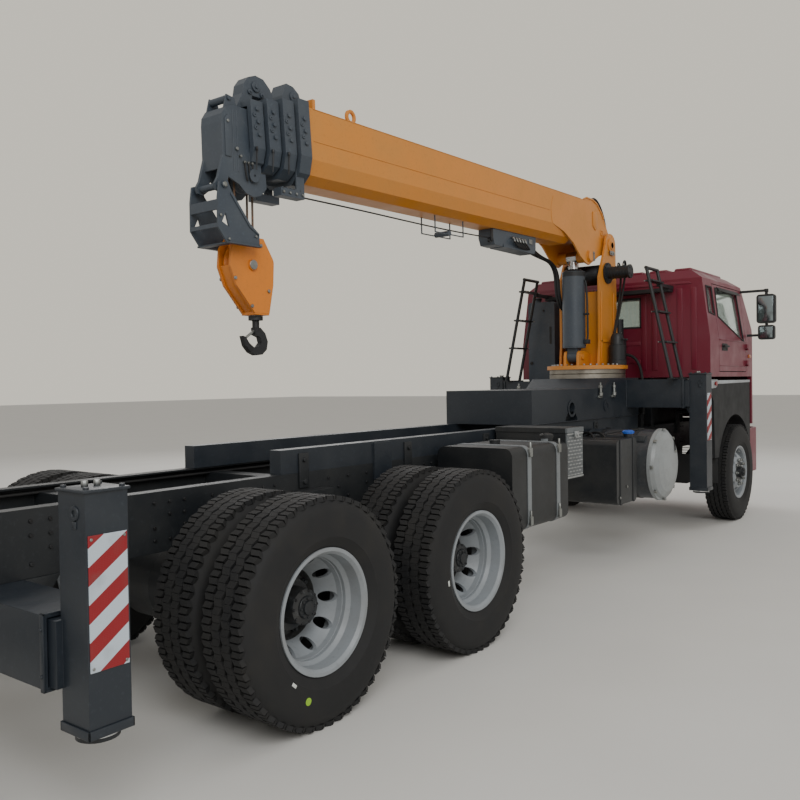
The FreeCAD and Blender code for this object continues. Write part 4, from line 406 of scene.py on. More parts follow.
def done(piece, name, material, body="chassis", smooth=35):
    """Joins a list, puts its place in its mesh, and gives it its name, its finish and its body."""
    if isinstance(piece, list):
        piece = together(piece)
    only(piece)
    bpy.ops.object.transform_apply(location=True, rotation=True, scale=True)
    if smooth:
        bpy.ops.object.shade_smooth_by_angle(angle=math.radians(smooth))
    piece.name = name
    piece.data.name = name
    piece.data.materials.clear()
    piece.data.materials.append(material)
    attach(piece, body)
    return piece


def slab(low, high, bevel=0.003, segments=2):
    """A plate or bar from its lowest to its highest corner."""
    deselect()
    middle = [(a + b) / 2 for a, b in zip(low, high)]
    bpy.ops.mesh.primitive_cube_add(size=1.0, location=middle)
    piece = bpy.context.object
    piece.scale = [abs(b - a) for a, b in zip(low, high)]
    bpy.ops.object.transform_apply(location=True, rotation=True, scale=True)
    bevelled(piece, bevel, segments)
    return piece


def corner_ring(points, filled):
    """A circle primitive whose points go to the corners of a profile."""
    deselect()
    bpy.ops.mesh.primitive_circle_add(vertices=len(points), radius=1.0, fill_type="NGON" if filled else "NOTHING")
    piece = bpy.context.object
    for vertex, corner in zip(piece.data.vertices, points):
        vertex.co = corner
    return piece


def cut_plate(points, depth, bevel=0.002, segments=2):
    """A flat outline of 3-D corners pushed out by the vector depth."""
    piece = corner_ring(points, True)
    bpy.ops.object.mode_set(mode="EDIT")
    bpy.ops.mesh.select_all(action="SELECT")
    bpy.ops.mesh.extrude_region_move(TRANSFORM_OT_translate={"value": depth})
    bpy.ops.mesh.select_all(action="SELECT")
    bpy.ops.mesh.normals_make_consistent(inside=False)
    bpy.ops.object.mode_set(mode="OBJECT")
    bevelled(piece, bevel, segments)
    return piece


def side_plate(outline, y, depth, bevel=0.002, segments=2):
    """A plate that stands across Y: its outline of (x, z) corners at y, pushed out by depth."""
    return cut_plate([(x, y, z) for x, z in outline], (0, depth, 0), bevel, segments)


def spun(profile, centre, axis="Y", steps=48):
    """Spins a closed profile of (along, radius) about an axis through centre."""
    lanes = {"X": lambda a, r: (a, 0, r), "Y": lambda a, r: (0, a, r), "Z": lambda a, r: (r, 0, a)}
    centre = Vector(centre)
    piece = corner_ring([centre + Vector(lanes[axis](a, r)) for a, r in profile], False)
    bpy.ops.object.mode_set(mode="EDIT")
    bpy.ops.mesh.select_all(action="SELECT")
    line = {"X": (1, 0, 0), "Y": (0, 1, 0), "Z": (0, 0, 1)}[axis]
    bpy.ops.mesh.spin(steps=steps, angle=math.tau, center=centre, axis=line, dupli=False)
    bpy.ops.mesh.select_all(action="SELECT")
    bpy.ops.mesh.remove_doubles(threshold=0.00005)
    bpy.ops.mesh.delete_loose(use_verts=True, use_edges=True, use_faces=False)
    bpy.ops.mesh.select_all(action="SELECT")
    bpy.ops.mesh.normals_make_consistent(inside=False)
    bpy.ops.object.mode_set(mode="OBJECT")
    return piece


def stud(centre, axis, radius, length, sides=6, bevel=0.0015):
    """A hexagon head or a round pin; grows from centre along the axis given as a vector."""
    deselect()
    axis = Vector(axis).normalized()
    bpy.ops.mesh.primitive_cylinder_add(vertices=sides, radius=radius, depth=length,
                                        location=Vector(centre) + axis * (length / 2),
                                        rotation=axis.to_track_quat("Z", "Y").to_euler())
    piece = bpy.context.object
    bpy.ops.object.transform_apply(location=True, rotation=True, scale=True)
    bevelled(piece, bevel, 1)
    return piece


def many(piece, moves):
    """Copies of one piece, each with its own mesh, joined with it; moves are matrices from the first."""
    group = [piece]
    for move in moves:
        mesh = piece.data.copy()
        mesh.transform(move)
        twin = bpy.data.objects.new("twin", mesh)
        bpy.context.scene.collection.objects.link(twin)
        group.append(twin)
    return together(group)


def together(group):
    deselect()
    for piece in group:
        piece.select_set(True)
    bpy.context.view_layer.objects.active = group[0]
    bpy.ops.object.join()
    return group[0]


def shifted(x=0.0, y=0.0, z=0.0):
    return Matrix.Translation((x, y, z))


def about(centre, axis, angle):
    """A turn about a line through centre."""
    centre = Vector(centre)
    return Matrix.Translation(centre) @ Matrix.Rotation(angle, 4, axis) @ Matrix.Translation(-centre)


def turns(centre, axis, count):
    """The turns that carry a piece from its first place to count even places round a line."""
    return [about(centre, axis, math.tau * i / count) for i in range(1, count)]


def faced(piece, y, side):
    """Turns a piece spun outward from a face at y on the left over for a face on the right."""
    if side < 0:
        piece.data.transform(shifted(0, y) @ Matrix.Scale(-1, 4, (0, 1, 0)) @ shifted(0, -y))
        piece.data.flip_normals()
    return piece


def row(x, count):
    """The shifts that carry a piece from its first place to count places x apart."""
    return [shifted(x * i) for i in range(1, count)]


def mirrored(piece):
    """The same piece on the other side of the centre plane."""
    mesh = piece.data.copy()
    mesh.transform(Matrix.Scale(-1, 4, (0, 1, 0)))
    mesh.flip_normals()
    twin = bpy.data.objects.new("twin", mesh)
    bpy.context.scene.collection.objects.link(twin)
    return twin


def pipe(points, radius, sides=3):
    """A hose or pipe along a smooth line through its points, closed at both ends."""
    deselect()
    curve = bpy.data.curves.new("pipe", "CURVE")
    curve.dimensions = "3D"
    line = curve.splines.new("NURBS")
    line.points.add(len(points) - 1)
    for spot, place in zip(line.points, points):
        spot.co = (*place, 1.0)
    line.use_endpoint_u = True
    line.order_u = min(4, len(points))
    curve.resolution_u = 8
    curve.bevel_depth = radius
    curve.bevel_resolution = sides
    curve.use_fill_caps = True
    piece = bpy.data.objects.new("pipe", curve)
    bpy.context.scene.collection.objects.link(piece)
    only(piece)
    bpy.ops.object.convert(target="MESH")
    return piece


BOOM_TURN = Matrix.Translation((FOOT_X, 0, FOOT_Z)) @ Matrix.Rotation(BOOM_TILT, 4, "Y")


def on_boom(parts, name, material, body="boom"):
    """Carries pieces drawn about the foot pin, boom level, to the parked boom."""
    piece = together(parts)
    piece.data.transform(BOOM_TURN)
    return done(piece, name, material, body)


# Wheels

TREAD_DEPTH = 0.017


def tyre_shell(y, x, side):
    """Carcass from bead to bead: bulged walls with a rim guard, and the tread's floor."""
    half = 0.145
    seat = 0.1075
    bead = 0.2825
    floor = TYRE_R - TREAD_DEPTH
    right = [(seat, bead), (seat + 0.004, bead + 0.020), (half - 0.020, 0.318), (half - 0.008, 0.345),
             (half - 0.003, 0.352), (half - 0.002, 0.372), (half, 0.405),
             (half - 0.001, 0.440), (half - 0.005, 0.472), (half - 0.010, 0.495),
             (half - 0.018, 0.508), (half - 0.032, floor), (0.050, floor + 0.001)]
    left = [(-a, r) for a, r in reversed(right)]
    inside = [(-0.080, bead), (-0.112, 0.370), (-0.085, 0.503), (0.085, 0.503), (0.112, 0.370), (0.080, bead)]
    return spun([(a * side, r) for a, r in right + left + inside], (x, y, AXLE_Z), "Y", 80)


def lug(y, x, across, length, skew, wide, slope):
    """One tread block, from under the tread's floor to the tread; skew carries its sides across the tyre."""
    deselect()
    bpy.ops.mesh.primitive_cube_add(size=1.0)
    piece = bpy.context.object
    for vertex in piece.data.vertices:
        a, b, c = (1 if part > 0 else -1 for part in vertex.co)
        radius, half, spread = (TYRE_R - TREAD_DEPTH - 0.006, wide / 2, 0.002)
        if c > 0:
            radius, half, spread = TYRE_R, wide / 2 - slope, 0.0
        vertex.co = (x + a * half, y + across + b * (length / 2 + spread) + a * skew / 2, AXLE_Z + radius)
    return piece


def tread(y, x, steer):
    """Tread ribs round a tyre, each a chain of blocks that swing left and right, so grooves run in zigzag."""
    if steer:
        pitches = 48
        ribs = ((-0.097, 0.040, 0.008), (-0.049, 0.036, 0.008), (0.0, 0.036, 0.008), (0.049, 0.036, 0.008),
                (0.097, 0.040, 0.008))
    else:
        pitches = 50
        ribs = ((-0.0925, 0.052, 0.014), (-0.0305, 0.049, 0.014), (0.0305, 0.049, 0.014), (0.0925, 0.052, 0.014))
    centre = (x, y, AXLE_Z)
    step = math.pi / pitches
    blocks = []
    for k, (across, length, skew) in enumerate(ribs):
        gap, slope = (0.0035, 0.0025) if k in (0, len(ribs) - 1) else (0.0004, 0.0007)
        pair = [lug(y, x, across, length, swing, TYRE_R * step - gap, slope) for swing in (skew, -skew)]
        pair[1].data.transform(about(centre, "Y", step))
        pair = together(pair)
        pair.data.transform(about(centre, "Y", step * (0.5 * k)))
        blocks.append(many(pair, turns(centre, "Y", pitches)))
    return together(blocks)


def tyre(name, x, centres, side, body, steer):
    """One tyre, or the two of a twin wheel, in place of the plain solid."""
    parts = []
    for y in centres:
        parts.append(tyre_shell(y, x, side))
        parts.append(tread(y, x, steer))
    piece = done(parts, f"{name}_tread", RUBBER, body, 30)
    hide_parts(name)


def wheel_nuts(name, x, face_y, pitch, side, body, finish):
    """Wheel nuts with their stud ends, on the disc."""
    nut = stud((x + pitch, face_y, AXLE_Z), (0, side, 0), 0.0175, 0.022)
    end = stud((x + pitch, face_y + side * 0.020, AXLE_Z), (0, side, 0), 0.0105, 0.016, 10)
    pair = together([nut, end])
    done(many(pair, turns((x, face_y, AXLE_Z), "Y", 10)), f"wheel_nuts_{name}", finish, body)


def hub_cover(name, x, end_y, radius, side, body):
    """Hub end cover with its ring of bolts and a domed cap."""
    flange = spun([(0, 0), (0, radius), (0.008, radius), (0.012, radius - 0.004), (0.012, radius * 0.62),
                   (0.022, radius * 0.58), (0.026, radius * 0.3), (0.027, 0)], (x, end_y, AXLE_Z), "Y", 40)
    bolt = stud((x + radius * 0.82, end_y + side * 0.010, AXLE_Z), (0, side, 0), 0.008, 0.008)
    bolts = many(bolt, turns((x, end_y, AXLE_Z), "Y", 8))
    done([faced(flange, end_y, side), bolts], f"hub_cover_{name}", FRAME_BLACK, body)


def valve(name, x, y, radius, side, body):
    stem = stud((x, y, AXLE_Z + radius), (0, side, 0), 0.006, 0.05, 8)
    done(stem, f"valve_{name}", ZINC, body)


def wheels():
    for name, side in SIDES:
        body = f"wheel_front_{name}"
        tyre(f"tyre_front_{name}", STEER_X, [FRONT_Y * side], side, body, True)
        wheel_nuts(f"front_{name}", STEER_X, side * (FRONT_Y + 0.112), 0.143, side, body, ZINC)
        hub_cover(f"front_{name}", STEER_X, side * (FRONT_Y + 0.1555), 0.050, side, body)
        valve(f"front_{name}", STEER_X, side * (FRONT_Y + 0.07), 0.235, side, body)
        for end, x in (("drive", DRIVE_X), ("tail", TAIL_X)):
            body = f"wheels_{end}_{name}"
            tyre(f"tyres_{end}_{name}", x, [side * (DUAL_Y + TWIN_SHIFT),
                                            side * (DUAL_Y - TWIN_SHIFT)], side, body, False)
            wheel_nuts(f"{end}_{name}", x, side * (DUAL_Y + 0.0138), 0.142, side, body, FRAME_BLACK)
            hub_cover(f"{end}_{name}", x, side * (DUAL_Y + 0.1575), 0.056, side, body)
            drive_flange = many(stud((x + 0.078, side * (DUAL_Y + 0.148), AXLE_Z), (0, side, 0), 0.008, 0.009),
                                turns((x, 0, AXLE_Z), "Y", 10))
            done(drive_flange, f"half_shaft_bolts_{end}_{name}", DARK_STEEL, body)
            valve(f"{end}_{name}", x, side * (DUAL_Y + 0.10), 0.22, side, body)


def paint_marks():
    """A lime dot and a white dab on the sidewalls, as a tyre fitter leaves them."""
    lime = moulded("lime_paint_dot", "#8FBF2C", "#7F9A45", 0.6, dirt=0.2)
    white = moulded("white_paint_dab", "#D3D7D2", "#9FA19B", 0.6, dirt=0.3)
    side_y = -(DUAL_Y + TWIN_SHIFT + 0.145)
    dot = spun([(0.001, 0), (0.001, 0.018), (-0.0008, 0.018), (-0.0012, 0.014), (-0.0012, 0)],
               (TAIL_X - 0.160, side_y, AXLE_Z - 0.372), "Y", 20)
    done(dot, "lime_dot", lime, "wheels_tail_right")
    for end, x, turn in (("tail", TAIL_X, math.radians(-42)), ("drive", DRIVE_X, math.radians(-80))):
        dab = slab((x - 0.016, side_y + 0.0015, AXLE_Z - 0.375),
                   (x + 0.016, side_y + 0.0045, AXLE_Z - 0.360), 0.001)
        dab.data.transform(about((x, side_y, AXLE_Z), "Y", -turn))
        done(dab, f"white_dab_{end}", white, f"wheels_{end}_right")


# Chassis

def bolt_rows():
    """Frame bolts in rows along both rails, and the clamps of the crane's long beams."""
    head = stud((-4.86, -RAIL_Y + 0.0002, 0.860), (0, -1, 0), 0.0095, 0.008)
    places = [(i, k) for i in range(100) for k in range(4) if i % 7 not in (3, 6) and (i + k) % 4]
    rows = many(head, [shifted(0.090 * i, 0, 0.062 * k) for i, k in places])
    done([rows, mirrored(rows)], "rail_bolts", DARK_STEEL)
    strap = slab((-2.60, -RAIL_Y - 0.012, 1.010), (-2.52, -RAIL_Y + 0.001, 1.215), 0.003)
    nut = stud((-2.56, -RAIL_Y - 0.011, 1.045), (0, -1, 0), 0.015, 0.014)
    nuts = many(nut, [shifted(0, 0, 0.13)])
    clamp = many(together([strap, nuts]), row(1.02, 5))
    done([clamp, mirrored(clamp)], "beam_clamps", FRAME_BLACK)


def rail_lines():
    """Air and brake pipes clipped along the inside of the rails, and the wiring loom."""
    run = ((-4.6, 0), (-3.6, 0), (-2.2, 0.004), (-0.6, 0), (1.2, 0.004), (3.1, 0))
    done([pipe([(x, y, 1.062 - sag) for x, sag in run], r)
          for y, r in ((0.395, 0.011), (0.372, 0.008), (-0.395, 0.011), (-0.368, 0.013))], "rail_pipes", HOSE)


def bogie():
    """Spring leaves with their clamp bolts, brake chambers and brake hoses of the tandem."""
    middle_x = (DRIVE_X + TAIL_X) / 2
    parts = []
    for side in (1, -1):
        middle_y = side * (RAIL_Y + 0.052)
        low = middle_y - 0.041
        for k in range(7):
            reach, z = 0.70 - 0.075 * k, 0.655 + 0.0195 * k
            line = [(-1.0, 0.003), (-0.4, 0.022), (0.4, 0.022), (1.0, 0.003),
                    (1.0, 0.019), (0.4, 0.038), (-0.4, 0.038), (-1.0, 0.019)]
            parts.append(cut_plate([(middle_x + reach * a, low, z + b) for a, b in line], (0, 0.082, 0), 0.003, 1))
        for x in (middle_x - 0.115, middle_x + 0.115):
            y = middle_y - 0.052
            parts.append(many(stud((x, y, 0.62), (0, 0, 1), 0.011, 0.24, 10), [shifted(0, 0.104)]))
            parts.append(many(stud((x, y, 0.855), (0, 0, 1), 0.019, 0.018), [shifted(0, 0.104)]))
    done(parts, "bogie_spring_leaves", FRAME_BLACK)
    cans, hoses = [], []
    for x in (DRIVE_X, TAIL_X):
        for side in (1, -1):
            y = 0.50 * side
            cans.append(spun([(0, 0), (0, 0.074), (0.05, 0.082), (0.06, 0.088), (0.07, 0.088), (0.08, 0.082),
                              (0.15, 0.078), (0.175, 0.055), (0.18, 0)], (x + 0.16, y, AXLE_Z + 0.11), "X", 28))
            cans.append(slab((x - 0.02, y - 0.015, AXLE_Z + 0.045), (x + 0.175, y + 0.015, AXLE_Z + 0.125), 0.004))
            hoses.append(pipe([(x + 0.30, y, AXLE_Z + 0.18), (x + 0.30, y, AXLE_Z + 0.27),
                               (x + 0.24, y * 0.9, AXLE_Z + 0.36), (x + 0.22, 0.40 * side, AXLE_Z + 0.44)], 0.009))
    done(cans, "brake_chambers", FRAME_BLACK)
    done(hoses, "brake_hoses", HOSE)


def tanks():
    """Straps' bolts, caps, the tread plate on the battery box and the drum's bands."""
    cap = [spun([(0, 0), (0, 0.050), (0.022, 0.052), (0.030, 0.046),
                 (0.034, 0.030), (0.034, 0)], (-0.555, -0.980, 1.195), "Z", 32)]
    cap += [slab((-0.600 + 0.03 * k, -0.984, 1.226), (-0.590 + 0.03 * k, -0.976, 1.238), 0.002) for k in range(3)]
    done(cap, "tank_cap", BLACK_PLASTIC)
    lid = spun([(0, 0), (0, 0.047), (0.010, 0.049), (0.022, 0.049),
                (0.030, 0.040), (0.031, 0)], (0.940, -1.000, 1.144), "Z", 32)
    ribs = many(slab((0.987, -1.004, 1.150), (0.992, -0.996, 1.166), 0.001), turns((0.940, -1.0, 0), "Z", 12))
    done([lid, ribs], "blue_filler_cap", moulded("blue_moulded_cap", "#2458B8", "#6F86A8", 0.38, dirt=0.25))
    bolts = []
    for x in (-1.045, -0.615):
        for z in (1.13, 0.66):
            bolts.append(slab((x - 0.018, -1.122, z - 0.030), (x + 0.018, -1.100, z + 0.030), 0.004))
            bolts.append(stud((x, -1.112, z), (0, 0, 1), 0.008, 0.07, 8))
    done(bolts, "tank_strap_buckles", ZINC)
    bead = slab((-0.425, -1.0865, 0.885), (-0.155, -1.0795, 0.897), 0.002)
    beads = many(bead, [shifted(0, 0, 0.325)])
    dash = side_plate([(-0.418, 0.908), (-0.412, 0.9125), (-0.378, 0.9125),
                       (-0.372, 0.908), (-0.378, 0.9035), (-0.412, 0.9035)], -1.0798, -0.003, 0.0)
    places = [(i, j) for j in range(12) for i in range(5 - j % 2) if i or j]
    pattern = many(dash, [shifted(0.052 * i + 0.026 * (j % 2), 0, 0.0255 * j) for i, j in places])
    latch = together([slab((-0.32, -1.102, 1.185), (-0.26, -1.082, 1.235), 0.004),
                      slab((-0.300, -1.110, 1.195), (-0.280, -1.098, 1.225), 0.003)])
    done([beads, pattern, latch], "tread_plate_cover", ALUMINIUM)
    drum = Vector((1.400, 0, 0.840))
    bands = []
    for y in (-0.64, -0.96):
        bands.append(spun([(0, 0.3155), (0, 0.3205), (0.04, 0.3205), (0.04, 0.3155)], (drum.x, y, drum.z), "Y", 64))
        bands.append(slab((drum.x - 0.012, y - 0.005, 1.150), (drum.x + 0.012, y + 0.045, 1.168), 0.003))
    done(bands, "drum_bands", FRAME_BLACK)
    clip = slab((1.712, -1.168, 0.825), (1.728, -1.118, 0.855), 0.003)
    clips = many(clip, turns((drum.x, 0, drum.z), "Y", 8))
    sensor = stud((1.53, -1.17, 0.95), (0.2, -1, 0.1), 0.014, 0.05, 6)
    done([clips, sensor], "drum_clips", ZINC)
    loom = [pipe([(1.53, -1.21, 0.955), (1.56, -1.20, 1.10), (1.45, -1.05, 1.175), (1.2, -0.8, 1.16),
                  (1.0, -0.44, 1.05)], 0.007), pipe([(0.78, -0.75, 1.108), (0.78, -0.72, 1.16),
                                                     (0.95, -0.6, 1.17), (1.1, -0.44, 1.08)], 0.011),
            pipe([(0.86, -0.82, 1.108), (0.88, -0.76, 1.18), (1.0, -0.6, 1.15), (1.15, -0.44, 1.04)], 0.011)]
    done(loom, "drum_hoses", HOSE)
    done([stud((x, -1.061, z), (0, -1, 0), 0.012, 0.010) for x, z in ((0.75, 0.70), (0.60, 0.62))],
         "urea_tank_plugs", ZINC)
    straps = []
    for x in (0.62, 0.90):
        for low, high in (((-1.066, 0.556), (-1.059, 1.114)), ((-1.062, 1.108), (-0.49, 1.115))):
            straps.append(slab((x - 0.018, *low), (x + 0.018, *high), 0.002))
    done(straps, "urea_tank_straps", FRAME_BLACK)


def air_gear():
    """Bands and drain cocks of the air reservoirs."""
    hoop = [(0, 0.1305), (0, 0.1345), (0.03, 0.1345), (0.03, 0.1305)]
    places = ((-1.06, 0.64), (-0.62, 0.64), (-1.06, 0.92), (-0.62, 0.92), (-0.33, 0.64), (0.11, 0.64))
    done([spun(hoop, (x, y, 0.820), "X", 40) for x, y in places], "reservoir_bands", ZINC)
    places = ((-0.84, 0.64), (-0.84, 0.92), (-0.11, 0.64))
    done([stud((x, y, 0.691), (0, 0, -1), 0.011, 0.022) for x, y in places], "drain_cocks", ZINC)


def tail_end():
    """Rims and ribs of the tail lamps, and a bare plate between them."""
    group = []
    for side in (1, -1):
        low, high = sorted((0.755 * side, 1.065 * side))
        for z in (0.434, 0.539):
            group.append(slab((-4.990, low, z), (-4.930, high, z + 0.007), 0.002))
        for y in (low - 0.004, high - 0.003):
            group.append(slab((-4.990, y, 0.434), (-4.930, y + 0.007, 0.546), 0.002))
        for step in (0.86, 0.965):
            group.append(slab((-4.984, step * side - 0.003, 0.441), (-4.975, step * side + 0.003, 0.539), 0.001))
    done(group, "tail_lamp_rims", BLACK_PLASTIC)
    done(slab((-4.952, -0.22, 0.435), (-4.940, 0.22, 0.545), 0.003), "bare_rear_plate", ALUMINIUM)


# Outriggers

def stripe_plates():
    """Reflective plates on the legs' outer faces, screwed on at their corners."""
    tapes = {"rear": stripes("red_white_tape_rear", 0.30), "front": stripes("red_white_tape_front", 100.30)}
    for end, x, low, high, half in (("rear", REAR_LEG_X, 0.620, 1.100, 0.078),
                                    ("front", FRONT_LEG_X, 1.002, 1.476, 0.062)):
        for name, side in SIDES:
            face = LEG_FACE * side
            body = f"outrigger_{end}_{name}_beam"
            plate = slab((x - half, face - 0.0005 * side, low), (x + half, face + 0.0035 * side, high), 0.001, 1)
            done(plate, f"stripe_plate_{end}_{name}", tapes[end], body)
            screws = []
            for dx in (-half + 0.012, half - 0.012):
                for z in (low + 0.014, high - 0.014):
                    screws.append(stud((x + dx, face + 0.003 * side, z), (0, side, 0), 0.006, 0.003, 10, 0.0008))
            done(screws, f"stripe_plate_screws_{end}_{name}", ZINC, body)


def leg_details():
    """Caps, lower collars, eyes, gussets and hose ports of the legs, and the feet's rims."""
    for end, x, top, low, box_low in (("rear", REAR_LEG_X, 1.250, 0.390, 0.530),
                                      ("front", FRONT_LEG_X, 1.665, 0.500, 1.330)):
        for name, side in SIDES:
            body = f"outrigger_{end}_{name}_beam"
            y = LEG_Y * side
            inner = LEG_Y - 0.085
            parts = [slab((x - 0.094, y - 0.094, top - 0.002), (x + 0.094, y + 0.094, top + 0.010), 0.004)]
            parts.append(many(stud((x - 0.072, y - 0.072, top + 0.009), (0, 0, 1), 0.011, 0.010),
                              [shifted(0.144), shifted(0, 0.144), shifted(0.144, 0.144)]))
            for x0, x1, y0, y1 in ((-0.092, 0.092, -0.092, -0.085), (-0.092, 0.092, 0.085, 0.092),
                                   (-0.092, -0.085, -0.092, 0.092), (0.085, 0.092, -0.092, 0.092)):
                parts.append(slab((x + x0, y + y0, low - 0.004), (x + x1, y + y1, low + 0.030), 0.002))
            eye_z = top - 0.075
            parts.append(spun([(0, 0.013), (0, 0.026), (0.006, 0.028), (0.006, 0.011)],
                              (x - 0.0915, y - 0.02, eye_z), "X", 20))
            parts.append(slab((x - 0.0895, y - 0.033, eye_z - 0.055),
                              (x - 0.0845, y - 0.007, eye_z - 0.028), 0.002))
            gusset = [(inner + 0.001, box_low + 0.02),
                      (inner - 0.060, box_low + 0.02), (inner + 0.001, box_low - 0.08)]
            parts.append(cut_plate([(x - 0.060, a * side, z) for a, z in gusset], (0.012, 0, 0), 0.001))
            done(parts, f"leg_fittings_{end}_{name}", NAVY, body)
            ports = many(stud((x + 0.03, y - 0.02 * side, top + 0.009), (0, 0, 1), 0.013, 0.022), [shifted(-0.05)])
            done(ports, f"leg_ports_{end}_{name}", ZINC, body)
            foot = spun([(0, 0.072), (0, 0.0785), (0.014, 0.0785), (0.020, 0.060),
                         (0.034, 0.056), (0.034, 0.0525), (0.004, 0.0525)], (x, y, low - 0.029), "Z", 36)
            done(foot, f"jack_foot_rim_{end}_{name}", FRAME_BLACK, f"jack_{end}_{name}_leg")


def housing_details():
    """Doubler frames at the housings' mouths, and gussets between the rear housing and the rails."""
    for end, x, low, high in (("rear", REAR_LEG_X, 0.530, 0.800), ("front", FRONT_LEG_X, 1.330, 1.620)):
        parts = []
        for side in (1, -1):
            for x0, x1, z0, z1 in ((-0.133, -0.123, low - 0.008, high + 0.008),
                                   (0.123, 0.133, low - 0.008, high + 0.008),
                                   (-0.133, 0.133, low - 0.008, low), (-0.133, 0.133, high, high + 0.008)):
                parts.append(slab((x + x0, 1.018 * side, z0), (x + x1, 1.041 * side, z1), 0.002))
            for z in (low + 0.05, high - 0.05):
                parts.append(stud((x - 0.132, 1.0295 * side, z), (-1, 0, 0), 0.008, 0.007))
        done(parts, f"housing_mouths_{end}", NAVY)
    ties = []
    for side in (1, -1):
        low, high = sorted((0.352 * side, 0.440 * side))
        ties.append(side_plate([(-4.262, 0.56), (-4.262, 0.80), (-4.10, 0.80)], low, high - low, 0.002))
    done(ties, "rear_housing_gussets", FRAME_BLACK)


# Crane base and column

def base_fittings():
    """Fittings on the base's sides, its welds, the turntable's bolts and the slewing motor."""
    fittings = []
    for x in (1.594, 1.921):
        for side in (1, -1):
            y = BASE_HALF * side
            fittings.append(slab((x - 0.045, y, 1.445), (x + 0.045, y + 0.018 * side, 1.468), 0.003))
            fittings.append(spun([(0, 0), (0, 0.024), (0.03, 0.024), (0.035, 0.014),
                                  (0.075, 0.014), (0.08, 0.019), (0.10, 0.019), (0.105, 0.008),
                                  (0.13, 0.008), (0.13, 0)], (x, y + 0.016 * side, 1.466), "Z", 16))
    done(fittings, "base_side_fittings", ZINC)
    weld = []
    for side in (1, -1):
        y = BASE_HALF * side
        for x, z, r in ((0.980, 1.360, 0.056), (1.756, 1.362, 0.034)):
            profile = [(0, r), (0, r + 0.024), (0.008, r + 0.022), (0.008, r)]
            weld.append(spun(profile, (x, min(y - 0.001 * side, y + 0.007 * side), z), "Y", 32))
        weld.append(pipe([(0.23, y, 1.243), (1.3, y, 1.243), (2.6, y, 1.243)], 0.0055))
        weld.append(pipe([(2.275, y, 1.33), (2.275, y, 1.62)], 0.0055))
    done(weld, "base_weld_beads", NAVY)
    bolt = stud((SLEW_X + 0.370, 0, 1.7755), (0, 0, 1), 0.0135, 0.016)
    ring = many(bolt, turns((SLEW_X, 0, 0), "Z", 36))
    done(ring, "turntable_bolts", ZINC, "slewing_column")
    pinion = spun([(0, 0.02), (0, 0.095), (0.05, 0.095), (0.055, 0.085), (0.21, 0.085), (0.215, 0.070),
                   (0.30, 0.066), (0.33, 0.050), (0.34, 0.02)], (SLEW_X + 0.02, -0.335, 1.7755), "Z", 32)
    ports = [stud((SLEW_X + dx, y, 2.045), (0, -1, 0), 0.012, 0.03) for dx, y in ((-0.03, -0.405), (0.06, -0.402))]
    done([pinion, *ports], "slewing_motor", FRAME_BLACK, "slewing_column")


def column_details():
    """Pin covers, stiffening plates, keeper plates and hoses of the column."""
    parts = []
    for side in (1, -1):
        y = 0.230 * side
        cover = spun([(0, 0), (0, 0.078), (0.010, 0.078), (0.014, 0.072),
                      (0.014, 0.0351), (0.020, 0.0312), (0.020, 0)], (FOOT_X, y, FOOT_Z), "Y", 36)
        parts.append(faced(cover, y, side))
        for x0, x1, z0, z1 in ((2.12, 2.15, 1.800, 2.55), (2.44, 2.47, 1.800, 2.55), (2.12, 2.47, 2.02, 2.045)):
            parts.append(slab((x0, y, z0), (x1, y + 0.012 * side, z1), 0.004))
    done(parts, "column_stiffeners", BOOM_YELLOW, "slewing_column")
    keepers = []
    for side in (1, -1):
        y = 0.2435 * side
        keepers.append(slab((FOOT_X - 0.055, y, FOOT_Z - 0.105),
                            (FOOT_X + 0.055, y + 0.008 * side, FOOT_Z - 0.060), 0.003))
        keepers.append(many(stud((FOOT_X - 0.035, y + 0.006 * side, FOOT_Z - 0.083),
                                 (0, side, 0), 0.010, 0.010), [shifted(0.07)]))
    done(keepers, "foot_pin_keepers", ZINC, "slewing_column")
    hoses = []
    for k in range(4):
        x, y = 2.142 + 0.027 * (k % 2), 0.143 + 0.027 * (k // 2)
        hoses.append(pipe([(x, y, 1.79), (x - 0.02, y + 0.003, 1.98), (x - 0.01, y, 2.20), (x, y, 2.355)], 0.0115))
    for k in range(3):
        y = -0.12 + 0.05 * k
        hoses.append(pipe([(2.466, y, 1.80), (2.50, y, 2.1), (2.47, y, 2.5), (2.44, y + 0.02, 2.60)], 0.012))
    done(hoses, "column_hoses", HOSE, "slewing_column")


